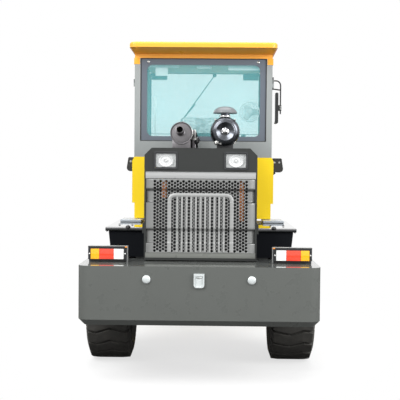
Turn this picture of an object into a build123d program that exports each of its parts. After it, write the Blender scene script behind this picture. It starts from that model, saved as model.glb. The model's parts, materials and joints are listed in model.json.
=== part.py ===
from build123d import *
import os
from math import atan2, cos, degrees, hypot, radians, sin, sqrt

# Compact articulated wheel loader, in millimetres.
# X points to the vehicle's right, Y to its front, Z up. The origin is on the ground, under the
# middle of the whole machine's box.

# ---- driving dimensions ----
WHEELBASE = 2400
REAR_OVERHANG = 1250  # rear axle to the counterweight's rear face
PLATE_PROUD = 14  # how far the hitch plate stands out of that face
FRONT_REACH = 1930  # front axle to the tips of the bucket's teeth
TRACK = 1560
BUCKET_WIDTH = 1960

TYRE_RADIUS = 485
TYRE_WIDTH = 370
RIM_RADIUS = 235
LUG_COUNT = 24
LUG_DEPTH = 24

COUNTERWEIGHT_WIDTH = 1832
COUNTERWEIGHT_DEPTH = 640
COUNTERWEIGHT_BOTTOM = 478
COUNTERWEIGHT_TOP = 930
WEIGHT_WALL = 180  # its solid rear wall
WEIGHT_CORNER = 80

HOOD_WIDTH = 895
HOOD_BOTTOM = 938
HOOD_TOP = 1829
HOOD_SETBACK = 420  # counterweight's rear face to the hood's rear face
HOOD_CHAMFER = 57
HOOD_SHEET = 10

CAB_WIDTH = 1260
CAB_LENGTH = 1250
CAB_SETBACK = 1600  # counterweight's rear face to the cab's rear wall
CAB_FLOOR = 1210
CAB_WAIST = 1773  # top of the painted lower body
CAB_SILL = 1918  # underside of the rear window opening
CAB_HEADER = 2676  # top of the window openings
ROOF_BOTTOM = 2713
ROOF_TOP = 2802
ROOF_WIDTH = 1330
POST = 52

PLATE_GAP = 104  # between the two plates of one side of the front tower
TOWER_X = 370  # middle of the boom arm and of its gap
PLATE = 25
ARM_THICKNESS = 46
CLEARANCE = 6

# ---- stations along the machine ----
LENGTH = PLATE_PROUD + REAR_OVERHANG + WHEELBASE + FRONT_REACH
REAR_FACE = PLATE_PROUD - LENGTH / 2
REAR_AXLE = REAR_FACE + REAR_OVERHANG
FRONT_AXLE = REAR_AXLE + WHEELBASE
PIVOT = REAR_AXLE + WHEELBASE / 2
HOOD_REAR = REAR_FACE + HOOD_SETBACK
CAB_REAR = REAR_FACE + CAB_SETBACK
CAB_FRONT = CAB_REAR + CAB_LENGTH
HALF_CAB = CAB_WIDTH / 2
HALF_HOOD = HOOD_WIDTH / 2
HALF_TRACK = TRACK / 2
TYRE_INNER = HALF_TRACK - TYRE_WIDTH / 2
TYRE_OUTER = HALF_TRACK + TYRE_WIDTH / 2

# ---- steering cylinders, as the right one's pins (X, Y) at the height STEER_Z ----
STEER_Z = 725
STEER_REAR = (220, PIVOT - 440)
STEER_FRONT = (250, PIVOT + 200)
STEER_BARREL_RADIUS = 30
TANK_X = (430, 770)
FENDER_X = (449, 775)

# ---- front linkage, as points (Y, Z) in the machine's middle plane ----
BOOM_PIVOT = (FRONT_AXLE - 330, 1480)
BUCKET_PIVOT = (FRONT_AXLE + 1130, 230)
LIFT_BASE = (FRONT_AXLE - 650, 430)
boom_length = hypot(BUCKET_PIVOT[0] - BOOM_PIVOT[0], BUCKET_PIVOT[1] - BOOM_PIVOT[1])
along = ((BUCKET_PIVOT[0] - BOOM_PIVOT[0]) / boom_length, (BUCKET_PIVOT[1] - BOOM_PIVOT[1]) / boom_length)


def on_boom(distance, height):
    """The point (Y, Z) this far along the line between the boom's pins and this high above it."""
    return (
        BOOM_PIVOT[0] + distance * along[0] - height * along[1],
        BOOM_PIVOT[1] + distance * along[1] + height * along[0],
    )


def polar(centre, radius, angle):
    """The point (Y, Z) at this radius and angle in degrees from a centre."""
    return (centre[0] + radius * cos(radians(angle)), centre[1] + radius * sin(radians(angle)))


LIFT_EYE = on_boom(500, -120)
CRANK_PIVOT = on_boom(1222, 109)
CROSS_TUBE = on_boom(1070, 5)
LINK_REAR = polar(CRANK_PIVOT, 349, 253.9)
TILT_EYE = polar(CRANK_PIVOT, 330, 58.8)
LINK_FRONT = polar(BUCKET_PIVOT, 150.5, 75.1)


# ---- shapes that many pieces share; each adds to the part under way ----
def block(x, y, z, mode=Mode.ADD):
    """A box between the pairs x, y and z."""
    with Locations(((x[0] + x[1]) / 2, (y[0] + y[1]) / 2, (z[0] + z[1]) / 2)):
        Box(abs(x[1] - x[0]), abs(y[1] - y[0]), abs(z[1] - z[0]), mode=mode)


def bar(start, end, radius, mode=Mode.ADD):
    """A round bar from one point to another."""
    axis = Vector(*end) - Vector(*start)
    with BuildSketch(Plane(origin=start, z_dir=axis)) as section:
        Circle(radius)
    extrude(section.sketch, axis.length, mode=mode)


def cross_bar(x, centre, radius, mode=Mode.ADD):
    """A round bar across the machine, between the pair x, at the point (Y, Z)."""
    bar((min(x), *centre), (max(x), *centre), radius, mode)


def plate(x, points, mode=Mode.ADD):
    """A flat plate that stands lengthwise between the pair x, with straight edges."""
    with BuildSketch(Plane.YZ.offset(min(x))) as outline:
        with BuildLine():
            Polyline(*points, close=True)
        make_face()
    extrude(outline.sketch, abs(x[1] - x[0]), mode=mode)


def strap(x, start, end, start_radius, end_radius, mode=Mode.ADD):
    """A lengthwise plate with two round ends, as the hull of two circles."""
    span = Vector(end[0] - start[0], end[1] - start[1])
    turn = degrees(atan2(span.Y, span.X))
    lean = degrees(atan2(sqrt(span.length**2 - (start_radius - end_radius) ** 2), start_radius - end_radius))
    with BuildSketch(Plane.YZ.offset(min(x))) as outline:
        with BuildLine():
            upper = (polar(start, start_radius, turn + lean), polar(end, end_radius, turn + lean))
            lower = (polar(start, start_radius, turn - lean), polar(end, end_radius, turn - lean))
            Line(*upper)
            ThreePointArc(upper[1], polar(end, end_radius, turn), lower[1])
            Line(lower[1], lower[0])
            ThreePointArc(lower[0], polar(start, start_radius, turn + 180), upper[0])
        make_face()
    extrude(outline.sketch, abs(x[1] - x[0]), mode=mode)


def save(piece, label):
    """Labels a finished piece and writes its STEP file."""
    piece.part.label = label
    export_step(piece.part, f"parts/{label}.step")


os.makedirs("parts", exist_ok=True)
SIDES = (("left", -1), ("right", 1))

# ================= rear frame =================
# Chassis: two rails, cross members, the axle's saddle and the fork of the centre pivot.
RAIL_X = (300, 326)
FORK_RADIUS = 120
FORK_LEVELS = ((560, 590), (860, 890))  # lower and upper plate of the rear fork
with BuildPart() as rear_chassis:
    rail_rear = REAR_FACE + WEIGHT_WALL
    for side in (-1, 1):
        rail = [(rail_rear, 560), (rail_rear, 900), (PIVOT - 260, 900), (PIVOT - 260, 545), (REAR_AXLE + 240, 545)]
        rail += [(REAR_AXLE + 150, 640), (REAR_AXLE - 150, 640), (REAR_AXLE - 240, 560)]
        plate((side * RAIL_X[0], side * RAIL_X[1]), rail)
    inner_x = (-RAIL_X[0], RAIL_X[0])
    block(inner_x, (REAR_FACE + 205, REAR_FACE + 245), (600, 880))
    block(inner_x, (REAR_AXLE - 130, REAR_AXLE - 100), (650, 690))
    block(inner_x, (REAR_AXLE + 100, REAR_AXLE + 130), (650, 690))
    block((-RAIL_X[1], RAIL_X[1]), (PIVOT - 285, PIVOT - 255), (545, 900))
    for bottom, top in FORK_LEVELS:
        with BuildSketch(Plane.XY.offset(bottom)) as fork:
            with BuildLine():
                Line((-RAIL_X[1], PIVOT - 260), (RAIL_X[1], PIVOT - 260))
                Line((RAIL_X[1], PIVOT - 260), (FORK_RADIUS, PIVOT))
                ThreePointArc((FORK_RADIUS, PIVOT), (0, PIVOT + FORK_RADIUS), (-FORK_RADIUS, PIVOT))
                Line((-FORK_RADIUS, PIVOT), (-RAIL_X[1], PIVOT - 260))
            make_face()
        extrude(fork.sketch, top - bottom)
        bar((0, PIVOT, bottom - 12), (0, PIVOT, top + 12), 70)
    bar((0, PIVOT, 480), (0, PIVOT, 1000), 38.5, Mode.SUBTRACT)
    for side in (-1, 1):
        block((side * 326, side * 446), (HOOD_REAR + 240, HOOD_REAR + 300), (840, HOOD_BOTTOM))
        for y in (REAR_AXLE - 330, REAR_AXLE + 420):
            block((side * 326, side * FENDER_X[0]), (y, y + 60), (840, 900))
        rail_x = (side * RAIL_X[0], side * RAIL_X[1])
        block(rail_x, (CAB_REAR + 20, CAB_REAR + 110), (895, CAB_FLOOR))
        stand = [(PIVOT - 640, 895), (PIVOT - 640, CAB_FLOOR), (PIVOT + 350, CAB_FLOOR), (PIVOT + 350, CAB_FLOOR - 40)]
        plate(rail_x, stand + [(PIVOT - 262, 960), (PIVOT - 262, 895)])
        for level in (600, 840):
            block((side * 326, side * TANK_X[0]), (PIVOT - 470, PIVOT - 340), (level, level + 60))
        window = (side * 130, side * RAIL_X[0])
        block(window, (PIVOT - 290, PIVOT - 250), (STEER_Z - 65, STEER_Z + 65), Mode.SUBTRACT)
        for level in (STEER_Z - 45, STEER_Z + 25):
            lug_y = (STEER_REAR[1] - 40, STEER_REAR[1] + 40)
            block((side * 185, side * RAIL_X[0]), lug_y, (level, level + 20))
        pin = (side * STEER_REAR[0], STEER_REAR[1])
        bar((*pin, STEER_Z - 50), (*pin, STEER_Z + 50), 20)
save(rear_chassis, "rear_chassis")

# Rear axle: banjo housing, final drives, stub ends and the shaft to the gearbox.
AXLE_Z = TYRE_RADIUS
STUB_RADIUS = 60


def axle(y, towards):
    """Adds an axle across the machine at y, with its input shaft's flange towards +1 or -1."""
    bar((-TYRE_INNER - 60, y, AXLE_Z), (TYRE_INNER + 60, y, AXLE_Z), 88)
    bar((0, y - 175, AXLE_Z), (0, y + 175, AXLE_Z), 150)
    bar((0, y + 100 * towards, AXLE_Z), (0, y + 250 * towards, AXLE_Z), 75)
    for side in (-1, 1):
        bar((side * (TYRE_INNER - 30), y, AXLE_Z), (side * (TYRE_INNER + 110), y, AXLE_Z), 140)
        bar((side * TYRE_INNER, y, AXLE_Z), (side * (HALF_TRACK + 30), y, AXLE_Z), STUB_RADIUS)


with BuildPart() as rear_axle:
    axle(REAR_AXLE, 1)
    for side in (-1, 1):
        block((side * 210, side * 330), (REAR_AXLE - 70, REAR_AXLE + 70), (AXLE_Z, 640))
    bar((0, REAR_AXLE + 240, AXLE_Z), (0, REAR_AXLE + 560, AXLE_Z), 32)
save(rear_axle, "rear_axle")

# Engine with torque converter and gearbox, as one heavy block on the frame.
with BuildPart() as engine:
    block((-240, 240), (HOOD_REAR + 330, CAB_REAR - 60), (760, 1450))
    block((-200, 200), (CAB_REAR - 60, CAB_REAR + 355), (700, 1150))
    block((-130, 130), (REAR_AXLE + 560, CAB_REAR + 355), (380, 720))
    bar((0, CAB_REAR + 350, AXLE_Z), (0, PIVOT - 60, AXLE_Z), 32)
save(engine, "engine")

# Radiator: core with header tanks, behind the grille.
with BuildPart() as radiator:
    block((-360, 360), (HOOD_REAR + 70, HOOD_REAR + 170), (1000, 1560))
    block((-300, 300), (HOOD_REAR + 80, HOOD_REAR + 160), (1560, 1610))
    block((-300, 300), (HOOD_REAR + 80, HOOD_REAR + 160), (COUNTERWEIGHT_TOP, 1000))
save(radiator, "radiator")

# Counterweight: a hollow casting with rounded rear corners and bevelled lower edges.
HALF_WEIGHT = COUNTERWEIGHT_WIDTH / 2
with BuildPart() as counterweight:
    block(
        (-HALF_WEIGHT, HALF_WEIGHT),
        (REAR_FACE, REAR_FACE + COUNTERWEIGHT_DEPTH),
        (COUNTERWEIGHT_BOTTOM, COUNTERWEIGHT_TOP),
    )
    upright = counterweight.edges().filter_by(Axis.Z).group_by(Axis.Y)[0]
    fillet(upright, WEIGHT_CORNER)
    chamfer(counterweight.faces().sort_by(Axis.Z)[0].edges(), 45)
    block(
        (-RAIL_X[1] - CLEARANCE, RAIL_X[1] + CLEARANCE),
        (REAR_FACE + WEIGHT_WALL, REAR_FACE + COUNTERWEIGHT_DEPTH + 10),
        (COUNTERWEIGHT_BOTTOM - 10, COUNTERWEIGHT_TOP - 25),
        Mode.SUBTRACT,
    )
    for side in (-1, 1):
        block(
            (side * 400, side * 780),
            (REAR_FACE + WEIGHT_WALL, REAR_FACE + COUNTERWEIGHT_DEPTH + 10),
            (COUNTERWEIGHT_BOTTOM - 10, COUNTERWEIGHT_TOP - 40),
            Mode.SUBTRACT,
        )
save(counterweight, "counterweight")

# Hitch plate: a shallow dish with a round lower end, and a round cap on each side of it.
CAP_X = 396
CAP_Z = 831
DISH_WIDTH = 80
with BuildPart() as hitch_plate:
    with BuildSketch(Plane.XZ.offset(-REAR_FACE)) as dish:
        with Locations((0, 825)):
            Rectangle(DISH_WIDTH, 106)
        fillet(dish.vertices().group_by(Axis.Y)[0], 22)
    extrude(dish.sketch, PLATE_PROUD)
    with BuildSketch(Plane.XZ.offset(-REAR_FACE)) as hollow:
        with Locations((0, 820)):
            Rectangle(DISH_WIDTH - 20, 78)
        fillet(hollow.vertices().group_by(Axis.Y)[0], 14)
    extrude(hollow.sketch.moved(Location((0, 6 - PLATE_PROUD, 0))), 10, mode=Mode.SUBTRACT)
    for side in (-1, 1):
        bar((side * CAP_X, REAR_FACE, CAP_Z), (side * CAP_X, REAR_FACE - 8, CAP_Z), 28)
save(hitch_plate, "hitch_plate")

# Tail lamps: a long three-part lamp on a bracket on each side of the counterweight's top.
LAMP_Y = REAR_FACE + 300
LAMP_X = (569, 876)
LAMP_Z = (950, 1050)
with BuildPart() as tail_lamps:
    for side in (-1, 1):
        across = (side * LAMP_X[0], side * LAMP_X[1])
        block((across[0] + side * 8, across[1]), (LAMP_Y + 8, LAMP_Y + 60), LAMP_Z)
        block((across[0] + side * 18, across[1] - side * 14), (LAMP_Y, LAMP_Y + 8), (960, 1030))
        block(across, (LAMP_Y + 2, LAMP_Y + 66), (LAMP_Z[1], LAMP_Z[1] + 4))
        block((across[0], across[0] + side * 8), (LAMP_Y + 2, LAMP_Y + 66), (COUNTERWEIGHT_TOP, LAMP_Z[1]))
        block(across, (LAMP_Y + 60, LAMP_Y + 66), (COUNTERWEIGHT_TOP, LAMP_Z[1]))
save(tail_lamps, "tail_lamps")

# ================= hood =================
# Shell: sides and a top with bevelled edges, open below; the rear wall carries two lamp pockets.
WORK_LAMP = (170, 120)
WORK_LAMP_X = 278
WORK_LAMP_Z = 1730
GRILLE_Z = (992, 1584)
GRILLE_X = 432
with BuildPart() as hood:
    with BuildSketch(Plane.XZ.offset(-HOOD_REAR)) as section:
        with Locations((0, (HOOD_BOTTOM + HOOD_TOP) / 2)):
            Rectangle(HOOD_WIDTH, HOOD_TOP - HOOD_BOTTOM)
        chamfer(section.vertices().group_by(Axis.Y)[-1], HOOD_CHAMFER)
    extrude(section.sketch, HOOD_REAR - CAB_REAR + 15)
    with BuildSketch(Plane.XZ.offset(-HOOD_REAR - HOOD_SHEET * 2)) as room:
        with Locations((0, (HOOD_BOTTOM + HOOD_TOP) / 2 - HOOD_SHEET)):
            Rectangle(HOOD_WIDTH - 2 * HOOD_SHEET, HOOD_TOP - HOOD_BOTTOM)
        chamfer(room.vertices().group_by(Axis.Y)[-1], HOOD_CHAMFER - 4)
    extrude(room.sketch, HOOD_REAR - CAB_REAR, mode=Mode.SUBTRACT)
    block((-GRILLE_X, GRILLE_X), (HOOD_REAR - 10, HOOD_REAR + 50), GRILLE_Z, Mode.SUBTRACT)
    for side in (-1, 1):
        pocket = (side * WORK_LAMP_X - WORK_LAMP[0] / 2, side * WORK_LAMP_X + WORK_LAMP[0] / 2)
        tall = (WORK_LAMP_Z - WORK_LAMP[1] / 2, WORK_LAMP_Z + WORK_LAMP[1] / 2)
        block(pocket, (HOOD_REAR - 10, HOOD_REAR + 50), tall, Mode.SUBTRACT)
        for row in range(6):
            low = 1150 + row * 60
            block((side * 430, side * 460), (HOOD_REAR + 160, HOOD_REAR + 520), (low, low + 24), Mode.SUBTRACT)
    block((-HALF_HOOD - 14, -HALF_HOOD), (HOOD_REAR + 4, HOOD_REAR + 34), (1150, 1230))
    block((HALF_HOOD, HALF_HOOD + 14), (HOOD_REAR + 4, HOOD_REAR + 34), (1150, 1230))
save(hood, "hood")

# Grille: a pressed plate with two set-back belts and staggered holes, and on it an arch of raised
# ribs that follow the belts.
HOLE_RADIUS = 15
HOLE_PITCH = (45.4, 52.4)  # between the columns, and between the holes of one column
BELTS = ((1074, 1192), (1397, 1509))
BELT_DEPTH = 12
BELT_SLOPE = 4
PLATE_FACE = HOOD_REAR + 2
GRILLE_SHEET = 6
ARCH_X = 262
ARCH_LEVELS = (1004, 1472)
ARCH_BAND = 34
ARCH_CORNER = 50
RIB_COUNT = 11
RIB_PITCH = 37
RIB_WIDTH = 18


def pressed(x, proud):
    """Adds the pressed plate between the pair x, with its rear face this far proud of the plate's."""
    face = [(PLATE_FACE, GRILLE_Z[0])]
    for low, high in BELTS:
        back = PLATE_FACE + BELT_DEPTH
        face += [(PLATE_FACE, low), (back, low + BELT_SLOPE), (back, high - BELT_SLOPE), (PLATE_FACE, high)]
    face.append((PLATE_FACE, GRILLE_Z[1]))
    front = [(y + GRILLE_SHEET, z) for y, z in reversed(face)]
    plate(x, [(y - proud, z) for y, z in face] + front)


with BuildPart() as ribs:
    pressed((-ARCH_X, ARCH_X), 5)
    with BuildSketch(Plane.XZ.offset(-PLATE_FACE)) as arch:
        arch_middle = sum(ARCH_LEVELS) / 2
        arch_height = ARCH_LEVELS[1] - ARCH_LEVELS[0]
        with Locations((0, arch_middle)):
            Rectangle(2 * ARCH_X, arch_height)
        fillet(arch.vertices().group_by(Axis.Y)[-1], ARCH_CORNER)
        with Locations((0, arch_middle - ARCH_BAND)):
            Rectangle(2 * (ARCH_X - ARCH_BAND), arch_height, mode=Mode.SUBTRACT)
        with Locations((0, arch_middle - ARCH_BAND / 2)):
            with GridLocations(RIB_PITCH, 0, RIB_COUNT, 1):
                Rectangle(RIB_WIDTH, arch_height - ARCH_BAND)
    extrude(arch.sketch, 60, both=True, mode=Mode.INTERSECT)

with BuildPart() as grille:
    pressed((-GRILLE_X, GRILLE_X), 0)
    centre = (0, HOOD_REAR, (GRILLE_Z[0] + GRILLE_Z[1]) / 2)
    with BuildSketch(Plane(centre, x_dir=(1, 0, 0), z_dir=(0, -1, 0))) as holes:
        for side in (-1, 1):
            with Locations((side * HOLE_PITCH[0] / 2, side * HOLE_PITCH[1] / 4)):
                with GridLocations(2 * HOLE_PITCH[0], HOLE_PITCH[1], 8, 10):
                    RegularPolygon(HOLE_RADIUS, 6)
    extrude(holes.sketch, 40, both=True, mode=Mode.SUBTRACT)
    add(ribs.part)
save(grille, "grille")

# Work lamps: bodies in the hood's pockets, each with a round lens in a rubber frame on the hood.
LAMP_FRAME = (190, 140)
LAMP_OPENING = (162, 109)
with BuildPart() as work_lamps:
    for side in (-1, 1):
        x = side * WORK_LAMP_X
        tall = (WORK_LAMP_Z - WORK_LAMP[1] / 2, WORK_LAMP_Z + WORK_LAMP[1] / 2)
        block((x - WORK_LAMP[0] / 2, x + WORK_LAMP[0] / 2), (HOOD_REAR + 14, HOOD_REAR + 60), tall)
        bar((x, HOOD_REAR + 16, WORK_LAMP_Z), (x, HOOD_REAR + 6, WORK_LAMP_Z), 50)
        for outer, depth in ((LAMP_FRAME, (-5, 0)), (WORK_LAMP, (-5, 15))):
            with BuildSketch(Plane.XZ.offset(-HOOD_REAR - depth[1])) as frame:
                with Locations((x, WORK_LAMP_Z)):
                    RectangleRounded(*outer, 12 if outer is LAMP_FRAME else 0.5)
                    RectangleRounded(*LAMP_OPENING, 8, mode=Mode.SUBTRACT)
            extrude(frame.sketch, depth[1] - depth[0])
save(work_lamps, "work_lamps")

def drum(x, rear, z, profile):
    """Adds a lengthwise turned body; the profile is pairs of radius and distance ahead of its rear."""
    with BuildSketch(Plane((x, rear, z), x_dir=(1, 0, 0), z_dir=(0, 0, 1))) as half:
        with BuildLine():
            Polyline(*profile, close=True)
        make_face()
    revolve(half.sketch, Axis((x, rear, z), (0, 1, 0)))


# Muffler: a horizontal drum with rolled rims on a bracket, its tail pipe out of the rear end, and
# the exhaust's riser out of the hood beside it.
MUFFLER = (-178, 1971)
MUFFLER_RADIUS = 95
MUFFLER_REAR = REAR_FACE + 1000
MUFFLER_LENGTH = 380
PIPE_RADIUS = 32
RISER = (-72, MUFFLER_REAR + 190)
with BuildPart() as muffler:
    end = [(0, 0), (80, 7), (87, 7), (87, -4), (MUFFLER_RADIUS, -4)]
    front_end = [(radius, MUFFLER_LENGTH - distance) for radius, distance in reversed(end)]
    drum(MUFFLER[0], MUFFLER_REAR, MUFFLER[1], end + front_end)
    block((MUFFLER[0] - 78, MUFFLER[0] + 78), (MUFFLER_REAR + 30, MUFFLER_REAR + 350), (HOOD_TOP, MUFFLER[1] - 40))
    pipe = (MUFFLER[0] - 4, MUFFLER_REAR + 20, MUFFLER[1] + 6)
    mouth = (MUFFLER[0] - 12, MUFFLER_REAR - 70, MUFFLER[1] + 26)
    bar(pipe, mouth, PIPE_RADIUS)
    bar(pipe, (mouth[0] - 2, mouth[1] - 20, mouth[2] + 4), PIPE_RADIUS - 4, Mode.SUBTRACT)
    bar((*RISER, HOOD_TOP), (*RISER, MUFFLER[1] + 10), 30)
    bar((*RISER, 1915), (*RISER, 1931), 42)
save(muffler, "muffler")

# Air cleaner: a horizontal canister whose round shoulder narrows to a dished end with a knob, and
# a rain cap on its neck.
CLEANER = (196, 1988)
CLEANER_RADIUS = 125
CLEANER_REAR = REAR_FACE + 1010
CLEANER_LENGTH = 400
DISH_RADIUS = 80
SHOULDER = 55
with BuildPart() as air_cleaner:
    turns = [radians(30 * step) for step in range(4)]
    across = CLEANER_RADIUS - DISH_RADIUS
    shoulder = [(DISH_RADIUS + across * sin(t), SHOULDER * (1 - cos(t))) for t in turns]
    front_end = [(CLEANER_RADIUS, CLEANER_LENGTH - 14), (CLEANER_RADIUS - 14, CLEANER_LENGTH), (0, CLEANER_LENGTH)]
    drum(CLEANER[0], CLEANER_REAR, CLEANER[1], [(0, 20), (28, 20), (DISH_RADIUS - 6, 6)] + shoulder + front_end)
    bar((CLEANER[0], CLEANER_REAR + 22, CLEANER[1]), (CLEANER[0], CLEANER_REAR - 8, CLEANER[1]), 23)
    for station in (70, 290):
        foot_y = (CLEANER_REAR + station, CLEANER_REAR + station + 40)
        block((CLEANER[0] - 70, CLEANER[0] + 70), foot_y, (HOOD_TOP, 1900))
    neck_y = CLEANER_REAR + 120
    bar((CLEANER[0], neck_y, CLEANER[1]), (CLEANER[0], neck_y, 2150), 40)
    bar((CLEANER[0], neck_y, 2116), (CLEANER[0], neck_y, 2128), 49)
    cap_plane = Plane((CLEANER[0], neck_y, 2145), x_dir=(1, 0, 0), z_dir=(0, -1, 0))
    with BuildSketch(cap_plane) as cap:
        with BuildLine():
            Polyline((103, 8), (103, 0), (0, 0), (0, 48), (12, 48))
            ThreePointArc((12, 48), (62, 34), (103, 8))
        make_face()
    revolve(cap.sketch, Axis((CLEANER[0], neck_y, 0), (0, 0, 1)))
save(air_cleaner, "air_cleaner")

# ================= fenders, tanks and steps =================
# Rear fenders: a top that rises forward over the tyre, with a rolled rear lip over a tapered rear
# panel, an outer flange, and inner and front walls.
FENDER_REAR = REAR_FACE + 720
FENDER_FRONT = REAR_AXLE + 560
FENDER_TOP = (1180, 1184)  # at its rear and at its front
FENDER_SHEET = 6
FENDER_BOTTOM = 935
LIP_RADIUS = 16
with BuildPart() as rear_fenders:
    for side in (-1, 1):
        for x, drop in ((FENDER_X, FENDER_SHEET), ((FENDER_X[1], FENDER_X[1] + FENDER_SHEET), 40)):
            top = [(FENDER_REAR, FENDER_TOP[0]), (FENDER_FRONT, FENDER_TOP[1])]
            plate([side * edge for edge in x], top + [(y, z - drop) for y, z in reversed(top)])
        lip = (FENDER_REAR - LIP_RADIUS / 2, FENDER_TOP[0] - LIP_RADIUS)
        cross_bar((side * FENDER_X[0], side * (FENDER_X[1] + 12)), lip, LIP_RADIUS)
        with BuildSketch(Plane.XZ.offset(-FENDER_REAR)) as panel:
            with BuildLine():
                lower = [(side * FENDER_X[0], FENDER_BOTTOM), (side * (FENDER_X[1] - 36), FENDER_BOTTOM)]
                upper = [(side * (FENDER_X[1] - 10), FENDER_TOP[0] - 8), (side * FENDER_X[0], FENDER_TOP[0] - 8)]
                Polyline(*lower, *upper, close=True)
            make_face()
        extrude(panel.sketch, -FENDER_SHEET)
        inner = (side * FENDER_X[0], side * (FENDER_X[0] + FENDER_SHEET))
        block(inner, (FENDER_REAR, FENDER_FRONT), (860, FENDER_TOP[0] - 2))
        across = (side * FENDER_X[0], side * FENDER_X[1])
        block(across, (FENDER_FRONT - FENDER_SHEET, FENDER_FRONT), (940, FENDER_TOP[1] - 3))
save(rear_fenders, "rear_fenders")

TANK_Y = (REAR_AXLE + 575, PIVOT - 110)
TANK_Z = (470, 900)
with BuildPart() as side_tanks:
    for side in (-1, 1):
        block((side * TANK_X[0], side * TANK_X[1]), TANK_Y, TANK_Z)
        bar((side * 690, TANK_Y[0] + 90, TANK_Z[1]), (side * 690, TANK_Y[0] + 90, TANK_Z[1] + 50), 38)
    fillet(side_tanks.edges().filter_by(Axis.Y), 28)
save(side_tanks, "side_tanks")

with BuildPart() as cab_steps:
    for side in (-1, 1):
        across = (side * TANK_X[1], side * 920)
        for level in (TANK_Z[0], TANK_Z[1] - 130):
            block(across, (TANK_Y[0] + 60, TANK_Y[1] - 60), (level, level + 22))
        for y in (TANK_Y[0] + 60, TANK_Y[1] - 72):
            block(across, (y, y + 12), (TANK_Z[0], TANK_Z[1] - 108))
save(cab_steps, "cab_steps")

# ================= cab =================
HINGE_RADIUS = 12
HINGE_PIN = 7
HINGE_HEIGHT = 34
HINGE_LEVELS = (1420, 2432)  # the lower one on the cab's base, the upper one on its frame
HINGE_X = HALF_CAB + HINGE_RADIUS + 2


def cab_hinge(side, level):
    """Adds the cab's half of a door hinge: a knuckle on a leaf, with a pin that stands up from it."""
    pin = (side * HINGE_X, DOOR_Y[0] - 2)
    block((side * HALF_CAB, side * (HALF_CAB + 8)), (DOOR_Y[0] - 60, pin[1]), (level, level + HINGE_HEIGHT))
    bar((*pin, level), (*pin, level + HINGE_HEIGHT), HINGE_RADIUS)
    bar((*pin, level), (*pin, level + 2 * HINGE_HEIGHT - 2), HINGE_PIN)


# Base: the painted lower body, a tub with a floor, open at both door sides above the floor.
WALL = 30
SILL_INSET = 4
SILL_TOP = 1350
BULGE = 18  # how far the base's rear corners stand out of its sides
BULGE_LENGTH = 120
FLOOR_TOP = CAB_FLOOR + 40
DOOR_Y = (CAB_REAR + 190, CAB_FRONT - 70)
DOOR_Z = (CAB_FLOOR + 50, CAB_HEADER - 5)
DOOR_THICKNESS = 36
with BuildPart() as cab_base:
    block((-HALF_CAB, HALF_CAB), (CAB_REAR, CAB_FRONT), (CAB_FLOOR, CAB_WAIST))
    for side in (-1, 1):
        inset = (side * (HALF_CAB - SILL_INSET), side * HALF_CAB)
        block(inset, (CAB_REAR, CAB_FRONT), (CAB_FLOOR, SILL_TOP), Mode.SUBTRACT)
    inside_y = (CAB_REAR + WALL, CAB_FRONT - WALL)
    block((-HALF_CAB + 62, HALF_CAB - 62), inside_y, (FLOOR_TOP, CAB_WAIST + 10), Mode.SUBTRACT)
    door_gap = (DOOR_Y[0] - 4, DOOR_Y[1] + 4)
    block((-HALF_CAB - 10, HALF_CAB + 10), door_gap, (DOOR_Z[0] - 4, CAB_WAIST + 10), Mode.SUBTRACT)
    for side in (-1, 1):
        with BuildSketch(Plane.XZ.offset(-CAB_REAR)) as corner:
            with BuildLine():
                outer = side * (HALF_CAB + BULGE)
                lower = [(side * (HALF_CAB - 10), SILL_TOP), (outer, SILL_TOP), (outer, CAB_WAIST - 2 * BULGE)]
                Polyline(*lower, (side * HALF_CAB, CAB_WAIST), (side * (HALF_CAB - 10), CAB_WAIST), close=True)
            make_face()
        extrude(corner.sketch, -BULGE_LENGTH)
        cab_hinge(side, HINGE_LEVELS[0])
save(cab_base, "cab_base")

# Frame: four posts, the grey walls between waist and sills, and the header rails.
with BuildPart() as cab_frame:
    block((-HALF_CAB, HALF_CAB), (CAB_REAR, CAB_FRONT), (CAB_WAIST, ROOF_BOTTOM))
    room = (-HALF_CAB + POST, HALF_CAB - POST)
    block(room, (CAB_REAR + POST, CAB_FRONT - POST), (CAB_WAIST - 5, ROOF_BOTTOM - 5 - 20), Mode.SUBTRACT)
    block(room, (CAB_REAR - 5, CAB_REAR + POST + 5), (CAB_SILL, CAB_HEADER), Mode.SUBTRACT)
    block(room, (CAB_FRONT - POST - 5, CAB_FRONT + 5), (CAB_WAIST + 20, CAB_HEADER), Mode.SUBTRACT)
    door_height = (CAB_WAIST - 5, CAB_HEADER)
    block((-HALF_CAB - 5, HALF_CAB + 5), door_gap, door_height, Mode.SUBTRACT)
    for side in (-1, 1):
        quarter = (side * (HALF_CAB - POST - 5), side * (HALF_CAB + 5))
        block(quarter, (CAB_REAR + POST, DOOR_Y[0] - 4 - POST), (CAB_SILL, CAB_HEADER), Mode.SUBTRACT)
        cab_hinge(side, HINGE_LEVELS[1])
save(cab_frame, "cab_frame")

# Roof: a slab with rounded edges on a tray that narrows down to the posts at the sides and rear.
ROOF_Y = (CAB_REAR - 200, CAB_FRONT + 110)
SLAB_BOTTOM = 2752
with BuildPart() as cab_roof:
    block((-ROOF_WIDTH / 2, ROOF_WIDTH / 2), ROOF_Y, (SLAB_BOTTOM, ROOF_TOP))
    fillet(cab_roof.edges().filter_by(Axis.Z), 60)
    fillet(cab_roof.faces().sort_by(Axis.Z)[-1].edges(), 24)
    upper_y = (ROOF_Y[0] + 12, ROOF_Y[1] - 12)
    lower_y = (CAB_REAR - 4, upper_y[1] - 4)
    for level, across, lengthwise in ((ROOF_BOTTOM, CAB_WIDTH + 8, lower_y), (SLAB_BOTTOM, ROOF_WIDTH - 24, upper_y)):
        with BuildSketch(Plane.XY.offset(level)) as tray:
            with Locations((0, sum(lengthwise) / 2)):
                Rectangle(across, lengthwise[1] - lengthwise[0])
    loft()
save(cab_roof, "cab_roof")

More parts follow.
